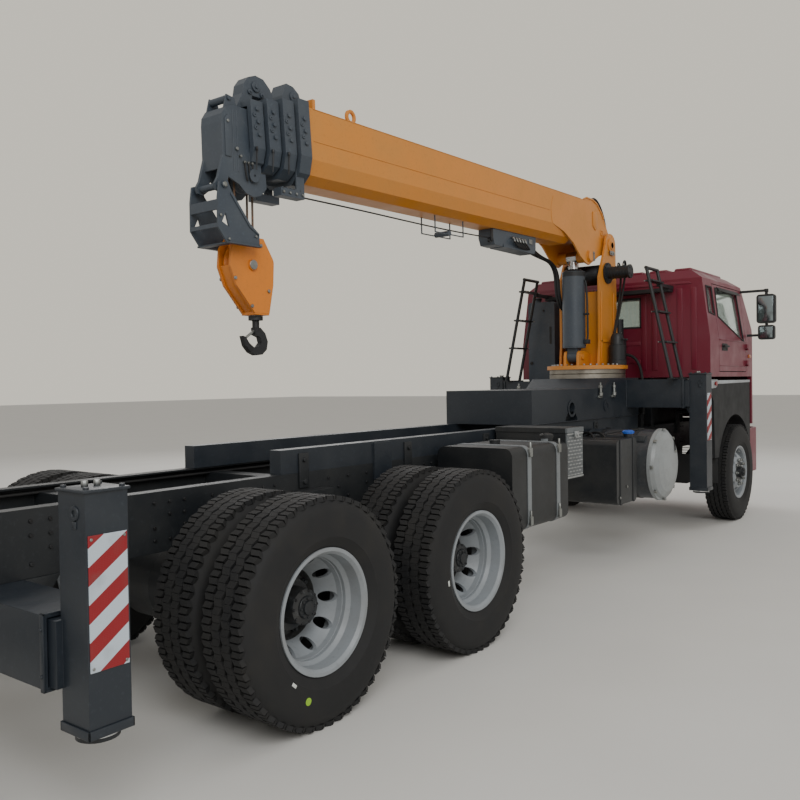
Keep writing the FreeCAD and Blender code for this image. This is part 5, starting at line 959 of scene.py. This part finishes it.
def winch_details():
    """Rope wound on the drum, and the flange, bolts, ribs, ports and hoses of the winch motor."""
    x, z = SLEW_X + 0.02, 2.745
    ring = spun([(-0.0055, 0.100), (-0.004, 0.105), (0.0, 0.1075),
                 (0.004, 0.105), (0.0055, 0.100), (0.0, 0.096)], (x, -0.178, z), "Y", 40)
    done(many(ring, [shifted(0, 0.0122 * i) for i in range(1, 30)]), "wound_rope", DARK_STEEL, "slewing_column")
    flange = spun([(0, 0.064), (0, 0.112), (0.012, 0.112), (0.016, 0.106), (0.016, 0.064)],
                  (x, -0.2475, z + 0.010), "Y", 36)
    bolt = stud((x + 0.098, -0.247, z + 0.010), (0, -1, 0), 0.008, 0.010)
    bolts = many(bolt, turns((x, 0, z + 0.010), "Y", 10))
    rib = spun([(0, 0.0615), (0, 0.0665), (0.010, 0.0665), (0.010, 0.0615)], (x, -0.300, z + 0.010), "Y", 36)
    ribs = many(rib, [shifted(0, -0.035 * i, 0) for i in range(1, 5)])
    screws = [stud((x + 0.045 * math.cos(t), -0.492, z + 0.010 + 0.045 * math.sin(t)), (0, -1, 0), 0.007, 0.007)
              for t in (0.6, 2.2, 3.7, 5.3)]
    done([flange, bolts, ribs, *screws], "winch_motor_fittings", FRAME_BLACK, "slewing_column")
    ports = many(stud((x - 0.02, -0.42, z + 0.070), (0, 0, 1), 0.013, 0.022), [shifted(0, 0.06)])
    done(ports, "winch_ports", ZINC, "slewing_column")
    lines = [pipe([(x - 0.02, -0.42, z + 0.085), (x + 0.01, -0.42, z + 0.15), (x + 0.12, -0.40, z + 0.10),
                   (x + 0.18, -0.34, z - 0.10), (x + 0.16, -0.30, z - 0.40), (x + 0.12, -0.24, z - 0.70)], 0.011),
             pipe([(x - 0.02, -0.36, z + 0.085), (x + 0.02, -0.35, z + 0.13), (x + 0.14, -0.33, z + 0.06),
                   (x + 0.19, -0.30, z - 0.15), (x + 0.16, -0.27, z - 0.45), (x + 0.10, -0.24, z - 0.72)], 0.011)]
    done(lines, "winch_hoses", HOSE, "slewing_column")


def lift_details():
    """Gland nut, base band and feed pipe of the lift cylinder."""
    x = LIFT_X
    gland = spun([(0, 0.0505), (0, 0.1195), (0.045, 0.1195), (0.055, 0.105),
                  (0.075, 0.080), (0.078, 0.0505)], (x, 0, 2.705), "Z", 40)
    done(gland, "lift_gland_nut", FRAME_BLACK, "lift_tube")
    base = spun([(0, 0.1165), (0, 0.1215), (0.03, 0.1215), (0.03, 0.1165)], (x, 0, 1.975), "Z", 40)
    done(base, "lift_base_band", SLATE, "lift_tube")
    feed = [pipe([(x, -0.120, 2.02), (x, -0.155, 2.02), (x, -0.155, 2.10), (x, -0.150, 2.6),
                  (x, -0.135, 2.66), (x, -0.118, 2.66)], 0.010), slab((x - 0.03, -0.170, 2.00),
            (x + 0.03, -0.118, 2.045), 0.004), slab((x - 0.022, -0.165, 2.30), (x + 0.022, -0.117, 2.32), 0.003)]
    done(feed, "lift_feed_pipe", FRAME_BLACK, "lift_tube")


# Boom, drawn about its foot pin with the boom level, then carried to its parked angle

def weld_lines():
    """Weld beads along the base section's seams and round its tail cheeks."""
    beads = []
    for side in (1, -1):
        y = 0.1803 * side
        beads.append(pipe([(-4.55, y, 0.218), (-3.0, y, 0.218), (-1.30, y, 0.218)], 0.0030))
        beads.append(pipe([(-1.25, y, 0.102), (-1.28, y, 0.20), (-1.27, y, 0.30), (-1.22, y, 0.36)], 0.0035))
        beads.append(pipe([(-4.55, y, 0.4215), (-2.0, y, 0.4215), (-0.62, y, 0.4215)], 0.0028))
        beads.append(pipe([(-0.18, y, 0.385), (-0.10, y, 0.300), (-0.02, y, 0.200)], 0.0028))
    on_boom(beads, "boom_weld_beads", BOOM_YELLOW)


def tail_details():
    """Pin bosses, keeper plate, rim of the tail cheeks, bare badge plate and lifting ring."""
    parts, keepers = [], []
    for side in (1, -1):
        y = 0.1925 * side
        boss = spun([(0, 0), (0, 0.050), (0.006, 0.054), (0.010, 0.050), (0.010, 0)],
                    (-0.4334, y, -0.1452), "Y", 32)
        parts.append(faced(boss, y, side))
        face = 0.1803 * side
        low, high = sorted((face, face + 0.007 * side))
        rim = [(-0.055, 0.285), (-0.095, 0.335), (-0.225, 0.428), (-0.335, 0.457), (-0.480, 0.459), (-0.560, 0.432),
               (-0.560, 0.418), (-0.480, 0.442), (-0.335, 0.441), (-0.235, 0.412), (-0.108, 0.322), (-0.070, 0.272)]
        parts.append(side_plate(rim, low, high - low, 0.002))
        badge = [(-0.335, 0.330), (-0.230, 0.330), (-0.222, 0.290),
                 (-0.222, 0.175), (-0.278, 0.135), (-0.335, 0.175), (-0.343, 0.290)]
        parts.append(side_plate(badge, low, high - low, 0.003))
        disc = spun([(0, 0.020), (0, 0.034), (0.004, 0.034), (0.006, 0.030), (0.006, 0.020)],
                    (-0.120, face, 0.130), "Y", 28)
        parts.append(faced(disc, face, side))
        keeper = [(-0.395, -0.095), (-0.360, -0.095), (-0.350, -0.185), (-0.385, -0.200)]
        keepers.append(side_plate(keeper, 0.2025 * side, 0.006 * side, 0.002))
        keepers.append(many(stud((-0.3775, 0.208 * side, -0.112),
                                 (0, side, 0), 0.009, 0.008), [shifted(0.007, 0, -0.065)]))
    parts.append(spun([(-0.012, 0.040), (-0.008, 0.052), (0.008, 0.052),
                       (0.012, 0.040), (0.008, 0.028), (-0.008, 0.028)], (-3.97, 0, 0.533), "Y", 28))
    parts.append(side_plate([(-4.010, 0.4215), (-3.930, 0.4215),
                             (-3.950, 0.490), (-3.990, 0.490)], -0.011, 0.022, 0.003))
    parts.append(side_plate([(-4.49, 0.42), (-4.45, 0.42), (-4.455, 0.50),
                             (-4.475, 0.525), (-4.49, 0.50)], -0.006, 0.012, 0.002))
    on_boom(parts, "boom_tail_plates", BOOM_YELLOW)
    on_boom(keepers, "lift_pin_keepers", ZINC)


def tail_hoses():
    """Hoses that leave the boom's tail over its slope, and their clip; all clear of the column."""
    lines = []
    for k, y in enumerate((-0.135, -0.100, -0.065)):
        lines.append(pipe([(-0.30 + 0.02 * k, y, 0.4235), (-0.24, y, 0.500), (-0.10, y, 0.480),
                           (0.030, y, 0.345), (0.100, y, 0.200),
                           (0.110, y * 0.9, 0.110), (0.030, y * 0.8, 0.085)], 0.0125))
    on_boom(lines, "tail_hoses", HOSE)
    clip = [slab((-0.125, -0.155, 0.365), (-0.105, -0.045, 0.380), 0.002)]
    clip[0].data.transform(about((-0.115, 0, 0.372), "Y", math.radians(50)))
    clip.append(many(stud((-0.30, -0.135, 0.4235), (-1, 0, 0), 0.017, 0.035),
                     [shifted(0.02, 0.035, 0), shifted(0.04, 0.07, 0)]))
    on_boom(clip, "tail_hose_clips", ZINC)


def under_boom():
    """Hose fittings on the tray under the boom, hoses down to the column and the thin rope."""
    fittings, lines = [], []
    for k in range(5):
        u = -1.86 + 0.052 * k
        fittings.append(stud((u, -0.0765, -0.095), (0, -1, -0.25), 0.011, 0.030))
        fittings.append(stud((u, -0.103, -0.103), (0, -0.35, -1), 0.0085, 0.035, 8))
        lines.append(pipe([(u, -0.105, -0.125), (u + 0.03, -0.105, -0.160),
                           (u + 0.14, -0.098, -0.183), (-1.43, -0.045 + 0.012 * k, -0.176 + 0.004 * k)], 0.0095))
    fittings.append(slab((-1.535, -0.083, -0.120), (-1.475, -0.075, -0.075), 0.002))
    on_boom(fittings, "tray_hose_fittings", ZINC)
    for k, y in enumerate((-0.050, -0.020, 0.010, 0.040)):
        drop, back = -0.530 + 0.028 * (k % 2), 0.1385 + 0.0265 * (k // 2)
        lines.append(pipe([(-1.440, y, -0.140), (-1.20, (y + back) / 2 - 0.02, -0.166),
                           (-0.86, back - 0.012, -0.172), (-0.64, back, -0.190),
                           (drop - 0.012, back, -0.290), (drop, back, -0.420), (drop + 0.015, back, -0.560),
                           (-0.420, back, -0.680), (-0.285, back, -0.700)], 0.0125))
    on_boom(lines, "tray_hoses", HOSE)
    rope = pipe([(-4.617, -0.100, -0.135), (-4.20, -0.100, -0.137), (-3.85, -0.096, -0.139),
                 (-3.10, -0.055, -0.140), (-2.60, -0.055, -0.138), (-2.17, -0.055, -0.130)], 0.0055)
    roller = spun([(-0.014, 0.005), (-0.014, 0.020), (0.0, 0.014),
                   (0.014, 0.020), (0.014, 0.005)], (-2.20, -0.055, -0.148), "Y", 20)
    bracket = slab((-2.215, -0.078, -0.155), (-2.180, -0.070, -0.060), 0.002)
    on_boom([rope, roller, bracket], "thin_rope_and_roller", DARK_STEEL)


def collar_details():
    """Wear pad screws and bosses round the collars; each pair rides with its own section."""
    for k, body in enumerate(("boom", "section_2", "section_3", "section_4")):
        inset = 0.023 * k
        half = 0.180 - inset + 0.026
        middle = -4.600 - 0.112 * k - 0.049
        parts = []
        for side in (1, -1):
            y = half * side
            for w, du in ((0.330, -0.012), (0.255, -0.005), (0.180, 0.002)):
                parts.append(stud((middle + du, y - 0.001 * side, w), (0, side, 0), 0.0145, 0.013))
            for w, du in ((0.292, -0.030), (0.218, -0.022)):
                parts.append(spun([(0, 0.004), (0, 0.013), (0.004, 0.0145), (0.006, 0.010), (0.006, 0.004)],
                                  (middle + du, y - (0.006 if side < 0 else 0), w), "Y", 16))
        lip = 0.423 - inset + 0.026
        parts.append(many(stud((middle - 0.012, -0.110 + 0.3 * inset, lip - 0.001),
                               (0, 0, 1), 0.012, 0.010), [shifted(0, 0.220 - 0.6 * inset, 0)]))
        on_boom(parts, f"collar_screws_{k + 1}", SLATE, body)
        if k:
            down = [pipe([(middle - 0.026, -half - 0.006, 0.095),
                          (middle - 0.028, -half - 0.007, 0.040), (middle - 0.034, -half - 0.005, -0.035)], 0.0045),
                    stud((middle - 0.026, -half - 0.006, 0.078), (0, 0, 1), 0.0085, 0.024)]
            on_boom(down, f"collar_pipe_{k + 1}", DARK_STEEL, body)


def head_details():
    """Weld lines, plates, pins, sheave caps and small pipes of the boom head."""
    parts, bright, lines = [], [], []
    for side in (1, -1):
        y = 0.0922 * side
        for u in (-5.118, -5.150):
            parts.append(pipe([(u, y, -0.06), (u, y, 0.12), (u, y, 0.30)], 0.0035))
        low, high = sorted((y, y + 0.006 * side))
        parts.append(side_plate([(-5.215, 0.02), (-5.215, 0.235), (-5.195, 0.262),
                                 (-5.170, 0.262), (-5.170, 0.02)], low, high - low, 0.002))
        bright.append(stud((-5.195, y + 0.004 * side, 0.225), (0, side, 0), 0.010, 0.010))
        bright.append(stud((-5.130, y, 0.075), (0, side, 0), 0.011, 0.014))
        bright.append(stud((-5.105, y, 0.035), (0, side, 0), 0.008, 0.018, 10))
        bright.append(stud((-5.265, 0.134 * side, -0.161), (0, side, 0), 0.014, 0.010))
        parts.append(spun([(0, 0.008), (0, 0.040), (0.003, 0.0415), (0.006, 0.037), (0.006, 0.008)],
                          (-5.003, 0.104 * side - (0.006 if side < 0 else 0), -0.066), "Y", 32))
    for u in (-5.075, -5.045, -5.015):
        bright.append(stud((u, -0.0925, 0.005), (0, -1, 0), 0.009, 0.016))
        lines.append(pipe([(u, -0.104, 0.005), (u, -0.1045, -0.02),
                           (u + 0.003, -0.104, -0.07), (u + 0.02, -0.103, -0.105)], 0.0055))
    on_boom(parts, "head_plates_and_welds", SLATE, "section_4")
    on_boom(bright, "head_pins", ZINC, "section_4")
    on_boom(lines, "head_pipes", HOSE, "section_4")


def rack_details():
    """Rungs and screws of the hose rack under the mouth collar."""
    rung = slab((-4.815, 0.082, -0.116), (-4.803, 0.150, -0.104), 0.002)
    rungs = many(rung, row(0.038, 5))
    on_boom([rungs, mirrored(rungs)], "hose_rack_rungs", SLATE)
    screws = many(stud((-4.808, -0.1505, -0.136), (0, -1, 0), 0.009, 0.010), row(0.056, 4))
    on_boom([screws], "hose_rack_screws", ZINC)


def roller_details():
    """Guide rollers on the hoods over the mouth and the head."""
    top = []
    for side in (1, -1):
        y = 0.0605 * side
        for u, w, r in ((-4.605, 0.510, 0.030), (-4.560, 0.478, 0.018)):
            top.append(stud((u, y, w), (0, side, 0), r, 0.010, 20))
            top.append(stud((u, y + 0.009 * side, w), (0, side, 0), r * 0.45, 0.008))
    on_boom(top, "mouth_roller_pins", SLATE)
    head = []
    for side in (1, -1):
        y = 0.0455 * side
        for u, w, r in ((-4.915, 0.500, 0.032), (-4.965, 0.460, 0.016), (-4.865, 0.460, 0.016)):
            head.append(stud((u, y, w), (0, side, 0), r, 0.010, 20))
            head.append(stud((u, y + 0.009 * side, w), (0, side, 0), r * 0.45, 0.008))
        head.append(stud((-5.166, 0.0805 * side, 0.366), (0, side, 0), 0.014, 0.010))
    on_boom(head, "head_roller_pins", SLATE, "section_4")


def hook_details():
    """Bolts and closing plate of the hook block, its hook's latch and nut, and the guide frame's rims."""
    frame_x = -2.860
    parts = []
    for side in (1, -1):
        y = 0.062 * side
        for x, z in ((-2.66, 2.475), (-2.52, 2.475), (-2.46, 2.20), (-2.60, 2.10), (-2.73, 2.26)):
            parts.append(stud((x, y - 0.0005 * side, z), (0, side, 0), 0.012, 0.009))
        parts.append(stud((-2.590, 0.071 * side, 2.350), (0, side, 0), 0.030, 0.006, 24))
    done(parts, "block_bolts", ZINC, "hook_sheave_block")
    outline = [(-2.758, 2.335), (-2.714, 2.224), (-2.572, 2.066),
               (-2.566, 2.070), (-2.7085, 2.2265), (-2.752, 2.336)]
    closing = side_plate(outline, -0.0435, 0.087, 0.001)
    done(closing, "block_closing_plate", BLOCK_ORANGE, "hook_sheave_block")
    outline = [(-2.500, 1.985), (-2.490, 1.975), (-2.596, 1.905), (-2.603, 1.914)]
    latch = side_plate(outline, -0.009, 0.018, 0.002)
    nut = stud((-2.515, 0, 2.044), (0, 0, 1), 0.036, 0.010)
    done([latch, nut], "hook_latch", ZINC, "swivel_hook")
    guide = []
    for side in (1, -1):
        y = 0.1285 * side
        guide.append(stud((frame_x, y, 2.780), (0, side, 0), 0.017, 0.014))
        for x, z in ((frame_x + 0.24, 2.510), (frame_x + 0.03, 2.470), (frame_x - 0.03, 2.60)):
            guide.append(stud((x, y, z), (0, side, 0), 0.009, 0.008))
    done(guide, "guide_frame_bolts", ZINC, "hook_guide")
    rims = []
    for side in (1, -1):
        low, high = sorted((0.1283 * side, 0.1345 * side))
        rims.append(side_plate([(frame_x + 0.055, 2.745), (frame_x + 0.196, 2.575), (frame_x + 0.265, 2.528),
                                (frame_x + 0.265, 2.516), (frame_x + 0.188, 2.560),
                                (frame_x + 0.044, 2.735)], low, high - low, 0.002))
    done(rims, "guide_frame_rims", SLATE, "hook_guide")


# Cab

def cab_side_y(z):
    """Half width of the cab at a height: upright to the waist, then leaning in."""
    return CAB_HALF - max(z - WAIST_Z, 0) * (0.085 / 0.650)


def rear_wall_ribs():
    """Pressed ribs in the cab's rear wall: vertical swages and the rail under the roof."""
    parts = []
    x, wide = CAB_REAR_X, 0.030
    for y in (-0.95, -0.80, -0.52, -0.40, 0.40, 0.52, 0.80, 0.95):
        parts.append(cut_plate([(x, y - wide, 1.72), (x, y + wide, 1.72),
                                (x, y + wide, 2.60), (x, y - wide, 2.60)], (-0.008, 0, 0), 0.0075, 3))
    for z in (1.82, 2.02):
        parts.append(cut_plate([(x, -0.36, z - 0.022), (x, 0.36, z - 0.022),
                                (x, 0.36, z + 0.022), (x, -0.36, z + 0.022)], (-0.008, 0, 0), 0.0075, 3))
    parts.append(cut_plate([(x, -0.93, 2.640), (x, 0.93, 2.640),
                            (x, 0.90, 2.668), (x, -0.90, 2.668)], (-0.010, 0, 0), 0.009, 3))
    done(parts, "cab_rear_wall_ribs", CAB_MAROON, "cab", 50)
    bars = [slab((2.884, y0, z0), (2.894, y1, z1), 0.004) for y0, y1, z0, z1 in (
        (-0.372, 0.372, 2.190, 2.210), (-0.372, 0.372, 2.510, 2.530),
        (-0.372, -0.352, 2.190, 2.530), (0.352, 0.372, 2.190, 2.530))]
    done(bars, "rear_window_seal", HOSE, "cab")


def roof_pressings():
    """Long raised swages of the roof panel; their rounded ends show over the rear wall."""
    parts = []
    for y, half in ((-0.81, 0.095), (-0.54, 0.105), (-0.27, 0.105),
                    (0.0, 0.105), (0.27, 0.105), (0.54, 0.105), (0.81, 0.095)):
        parts.append(slab((2.955, y - half, 2.776), (4.020, y + half, 2.822), 0.022, 5))
    done(parts, "roof_pressings", CAB_MAROON, "cab", 60)


def window_seal(window, side, name, body):
    """A rubber seal along a window's edge, on the cab's leaning side."""
    seal = []
    for a, b in zip(window, window[1:] + window[:1]):
        line = (a, ((a[0] + b[0]) / 2, (a[1] + b[1]) / 2), b)
        seal.append(pipe([(x, side * (cab_side_y(z) + 0.001), z) for x, z in line], 0.008))
    done(seal, name, HOSE, body)


def side_panels():
    """Window seals, door handles, swages and wind deflectors, and the side repeaters."""
    for name, side in SIDES:
        door = f"{name}_door"
        window_seal([(3.262, 2.300), (3.285, 2.612), (4.085, 2.612), (4.136, 2.050)],
                    side, f"door_window_seal_{name}", door)
        window_seal([(2.960, 2.330), (2.975, 2.615), (3.160, 2.615), (3.160, 2.310)],
                    side, f"quarter_window_seal_{name}", "cab")
        handle = [slab((3.30, side * 1.1195, 1.925), (3.50, side * 1.124, 2.005), 0.003),
                  slab((3.315, side * 1.123, 1.965), (3.485, side * 1.152, 1.985), 0.006, 3),
                  stud((3.475, side * 1.123, 1.945), (0, side, 0), 0.011, 0.006, 16)]
        done(handle, f"door_handle_{name}", BLACK_PLASTIC, door)
        swage = [slab((3.215, side * 1.1190, z0), (4.225, side * 1.1255, z1),
                      0.003) for z0, z1 in ((2.038, 2.052), (1.755, 1.763))]
        done(swage, f"door_swage_{name}", CAB_MAROON, door)
        z0, z1 = 2.630, 2.585
        visor = cut_plate([(3.35, side * (cab_side_y(z0) + 0.002), z0),
                           (4.15, side * (cab_side_y(z0) + 0.002), z0), (4.17, side * (cab_side_y(z1) + 0.032), z1),
                           (3.36, side * (cab_side_y(z1) + 0.032), z1)], (0, side * 0.004, 0.001), 0.001)
        done(visor, f"door_visor_{name}", BLACK_PLASTIC, door)
        repeater = slab((4.33, side * 1.118, 1.86), (4.42, side * 1.132, 1.90), 0.005, 3)
        done(repeater, f"side_repeater_{name}", AMBER_LENS, "cab")


def cab_front_details():
    """Grille, bare plates, swages, wipers, marker lamps, sun shield, and the fittings of the bumper."""
    x = CAB_FRONT_X
    bars = [slab((x - 0.002, -0.62, 1.330), (x + 0.004, 0.62, 1.672), 0.004)]
    for k in range(6):
        bars.append(slab((x + 0.002, -0.600, 1.352 + 0.054 * k), (x + 0.022, 0.600, 1.372 + 0.054 * k), 0.006, 3))
    for y in (-0.606, 0.600):
        bars.append(slab((x + 0.002, y, 1.34), (x + 0.026, y + 0.012, 1.662), 0.004))
    done(bars, "grille_bars", BLACK_PLASTIC, "cab")
    done(slab((x + 0.022, -0.085, 1.475), (x + 0.030, 0.085, 1.535), 0.006, 3), "bare_badge_plate", SILVER, "cab")
    trim = [slab((x - 0.001, -0.66, 1.690), (x + 0.010, 0.66, 1.712), 0.005, 3),
            slab((x - 0.001, -0.80, 1.905), (x + 0.008, 0.80, 1.925), 0.004, 3)]
    done(trim, "front_panel_swages", CAB_MAROON, "cab")
    wipers = []
    for y in (-0.62, 0.18):
        base = Vector((4.728, y, 1.975))
        tip = Vector((4.560, y + 0.62, 2.36))
        wipers.append(pipe([base, base.lerp(tip, 0.5) + Vector((0.022, 0, 0.008)),
                            tip + Vector((0.014, 0, 0.004))], 0.007))
        wipers.append(pipe([(4.650, y + 0.28, 2.085), (4.574, y + 0.60, 2.34), (4.513, y + 0.86, 2.495)], 0.006))
        wipers.append(stud(base + Vector((-0.01, 0, 0)), (1, 0, 0.5), 0.020, 0.028, 16))
    done(wipers, "wipers", BLACK_PLASTIC, "cab")
    lamps = [slab((4.185, y - 0.045, 2.770), (4.245, y + 0.045, 2.802),
                  0.010, 3) for y in (-0.80, -0.28, 0.28, 0.80)]
    done(lamps, "roof_marker_lamps", AMBER_LENS, "cab")
    shield = cut_plate([(4.290, -0.90, 2.735), (4.470, -0.92, 2.660),
                        (4.480, -0.92, 2.652), (4.300, -0.90, 2.725)], (0, 1.80, 0), 0.002)
    done(shield, "sun_shield", BLACK_PLASTIC, "cab")
    shades = []
    for side in (1, -1):
        for z in (0.822, 0.628):
            shades.append(slab((4.985, side * 0.55, z), (5.000, side * 0.91, z + 0.010), 0.002))
    done(shades, "head_lamp_frames", BLACK_PLASTIC)
    bulbs = []
    for side in (1, -1):
        for y in (0.635, 0.745, 0.845):
            bulbs.append(spun([(0, 0), (0, 0.046), (0.004, 0.050), (0.008, 0.046),
                               (0.008, 0.038), (0.003, 0.030), (0.002, 0)], (4.9925, y * side, 0.730), "X", 28))
    done(bulbs, "head_lamp_reflectors", ALUMINIUM)
    grilles = [slab((4.975, -0.41, 0.575 + 0.032 * k), (4.992, 0.41, 0.583 + 0.032 * k), 0.002) for k in range(5)]
    done(grilles, "intake_slats", BLACK_PLASTIC)
    done(slab((4.996, -0.24, 0.855), (5.004, 0.24, 0.965), 0.003), "bare_front_plate", ALUMINIUM)
    steps = []
    for side in (1, -1):
        for y in (0.20, 0.34):
            steps.append(slab((4.995, y * side - 0.05, 0.765), (5.003, y * side + 0.05, 0.795), 0.003))
    done(steps, "bumper_foot_slots", BLACK_PLASTIC)


def mirror_details():
    """Mirror glasses in the housings' rear faces, and the clamps on their arm."""
    for name, side in SIDES:
        parts = []
        for y0, y1, z0, z1 in ((1.255, 1.420, 2.285, 2.577), (1.268, 1.412, 2.090, 2.218)):
            parts.append(slab((4.2595, y0 * side, z0), (4.2645, y1 * side, z1), 0.0022, 2))
        glass = bare_metal(f"mirror_silvered_glass_{name}", "#8F999C", "#7C8588", 0.06)
        done(parts, f"mirror_glasses_{name}", glass, "cab")
        clamps = [slab((4.280, 1.318 * side, z - 0.020),
                       (4.320, 1.360 * side, z + 0.020), 0.006, 3) for z in (2.124, 2.646)]
        done(clamps, f"mirror_clamps_{name}", BLACK_PLASTIC, "cab")


def fender_details():
    """Pale step plate, mud flap and red lamp at the rear of each front mudguard."""
    for name, side in SIDES:
        low, high = sorted((0.86 * side, 1.108 * side))
        plate = side_plate([(2.905, 1.601), (3.180, 1.601), (3.180, 1.609), (2.905, 1.609)], low, high - low, 0.002)
        low, high = sorted((1.1045 * side, 1.1085 * side))
        face = side_plate([(2.905, 1.600), (4.450, 1.600), (4.450, 1.572), (3.180, 1.560),
                           (3.120, 1.520), (2.930, 1.512), (2.905, 1.530)], low, high - low, 0.001)
        done([plate, face], f"fender_step_{name}", SILVER)
        flap = [slab((3.176, 0.640 * side, 0.480), (3.184, 1.100 * side, 0.785), 0.003),
                slab((3.184, 0.640 * side, 0.764), (3.212, 1.100 * side, 0.786), 0.003)]
        done(flap, f"front_mud_flap_{name}", HOSE)
        lamp = spun([(0, 0), (0, 0.026), (0.010, 0.024), (0.020, 0.014), (0.022, 0)],
                    (3.075, 1.108 * side - (0.022 if side < 0 else 0), 1.565), "Y", 24)
        done(lamp, f"side_marker_{name}", RED_LENS)


# Behind the cab

def ladder_details():
    """Grip treads on the ladders' rungs, and the rungs' bolts."""
    parts, bright = [], []
    for side in (1, -1):
        for z in (2.620, 2.300, 1.990):
            y = side * (0.950 - 0.250 * (z - 1.620) / 1.140)
            for k in range(5):
                parts.append(slab((2.182 + 0.062 * k, y - 0.038, z + 0.0135),
                                  (2.212 + 0.062 * k, y + 0.038, z + 0.0175), 0.001))
            for x in (2.190, 2.490):
                bright.append(stud((x, y - 0.046 * side, z + 0.007), (0, -side, 0), 0.008, 0.008))
    done(parts, "ladder_treads", BLACK_PLASTIC)
    done(bright, "ladder_bolts", ZINC)


def tank_details():
    """Sight glass, plugs and filler of the oil tank; levers, ports and hoses of the valve bank."""
    parts = [slab((2.6295, 0.60, 2.05), (2.6255, 0.625, 2.25), 0.001),
             stud((2.630, 0.86, 1.83), (-1, 0, 0), 0.018, 0.012),
             stud((2.630, 0.70, 2.44), (-1, 0, 0), 0.012, 0.010)]
    done(parts, "oil_tank_gauge_and_plug", BLACK_PLASTIC)
    cap = spun([(0, 0), (0, 0.044), (0.006, 0.046), (0.020, 0.046),
                (0.026, 0.038), (0.027, 0)], (2.740, 0.830, 2.5745), "Z", 28)
    done(cap, "oil_tank_filler", BLACK_PLASTIC)
    parts, lines = [], []
    for k in range(6):
        y = -0.185 + 0.042 * k
        parts.append(pipe([(2.800, y, 2.058), (2.795, y, 2.110), (2.770, y, 2.150)], 0.006))
        parts.append(slab((2.738, y - 0.020, 1.80), (2.746, y + 0.015, 2.03), 0.002))
        for z in (1.86, 1.96):
            parts.append(stud((2.7455, y - 0.002, z), (-1, 0, 0), 0.012, 0.022))
        y -= 0.002
        lines.append(pipe([(2.727, y, 1.862), (2.727, y, 1.83), (2.729, y * 0.95, 1.75), (2.728, y * 0.85, 1.65),
                           (2.70, y * 0.75, 1.50)], 0.009))
    done(parts, "valve_spools_and_ports", ZINC)
    lines.append(pipe([(2.740, 0.56, 1.86), (2.745, 0.50, 1.84),
                       (2.76, 0.36, 1.82), (2.78, 0.14, 1.84), (2.80, 0.055, 1.85)], 0.016))
    lines.append(pipe([(2.800, -0.205, 1.90), (2.800, -0.30, 1.90),
                       (2.79, -0.40, 1.80), (2.78, -0.43, 1.60), (2.76, -0.432, 1.24)], 0.016))
    done(lines, "valve_hoses", HOSE)


photo_camera()
studio()
wheels()
paint_marks()
bolt_rows()
rail_lines()
bogie()
tanks()
air_gear()
tail_end()
stripe_plates()
leg_details()
housing_details()
base_fittings()
column_details()
winch_details()
lift_details()
weld_lines()
tail_details()
tail_hoses()
under_boom()
collar_details()
head_details()
rack_details()
roller_details()
hook_details()
rear_wall_ribs()
roof_pressings()
side_panels()
cab_front_details()
mirror_details()
fender_details()
ladder_details()
tank_details()
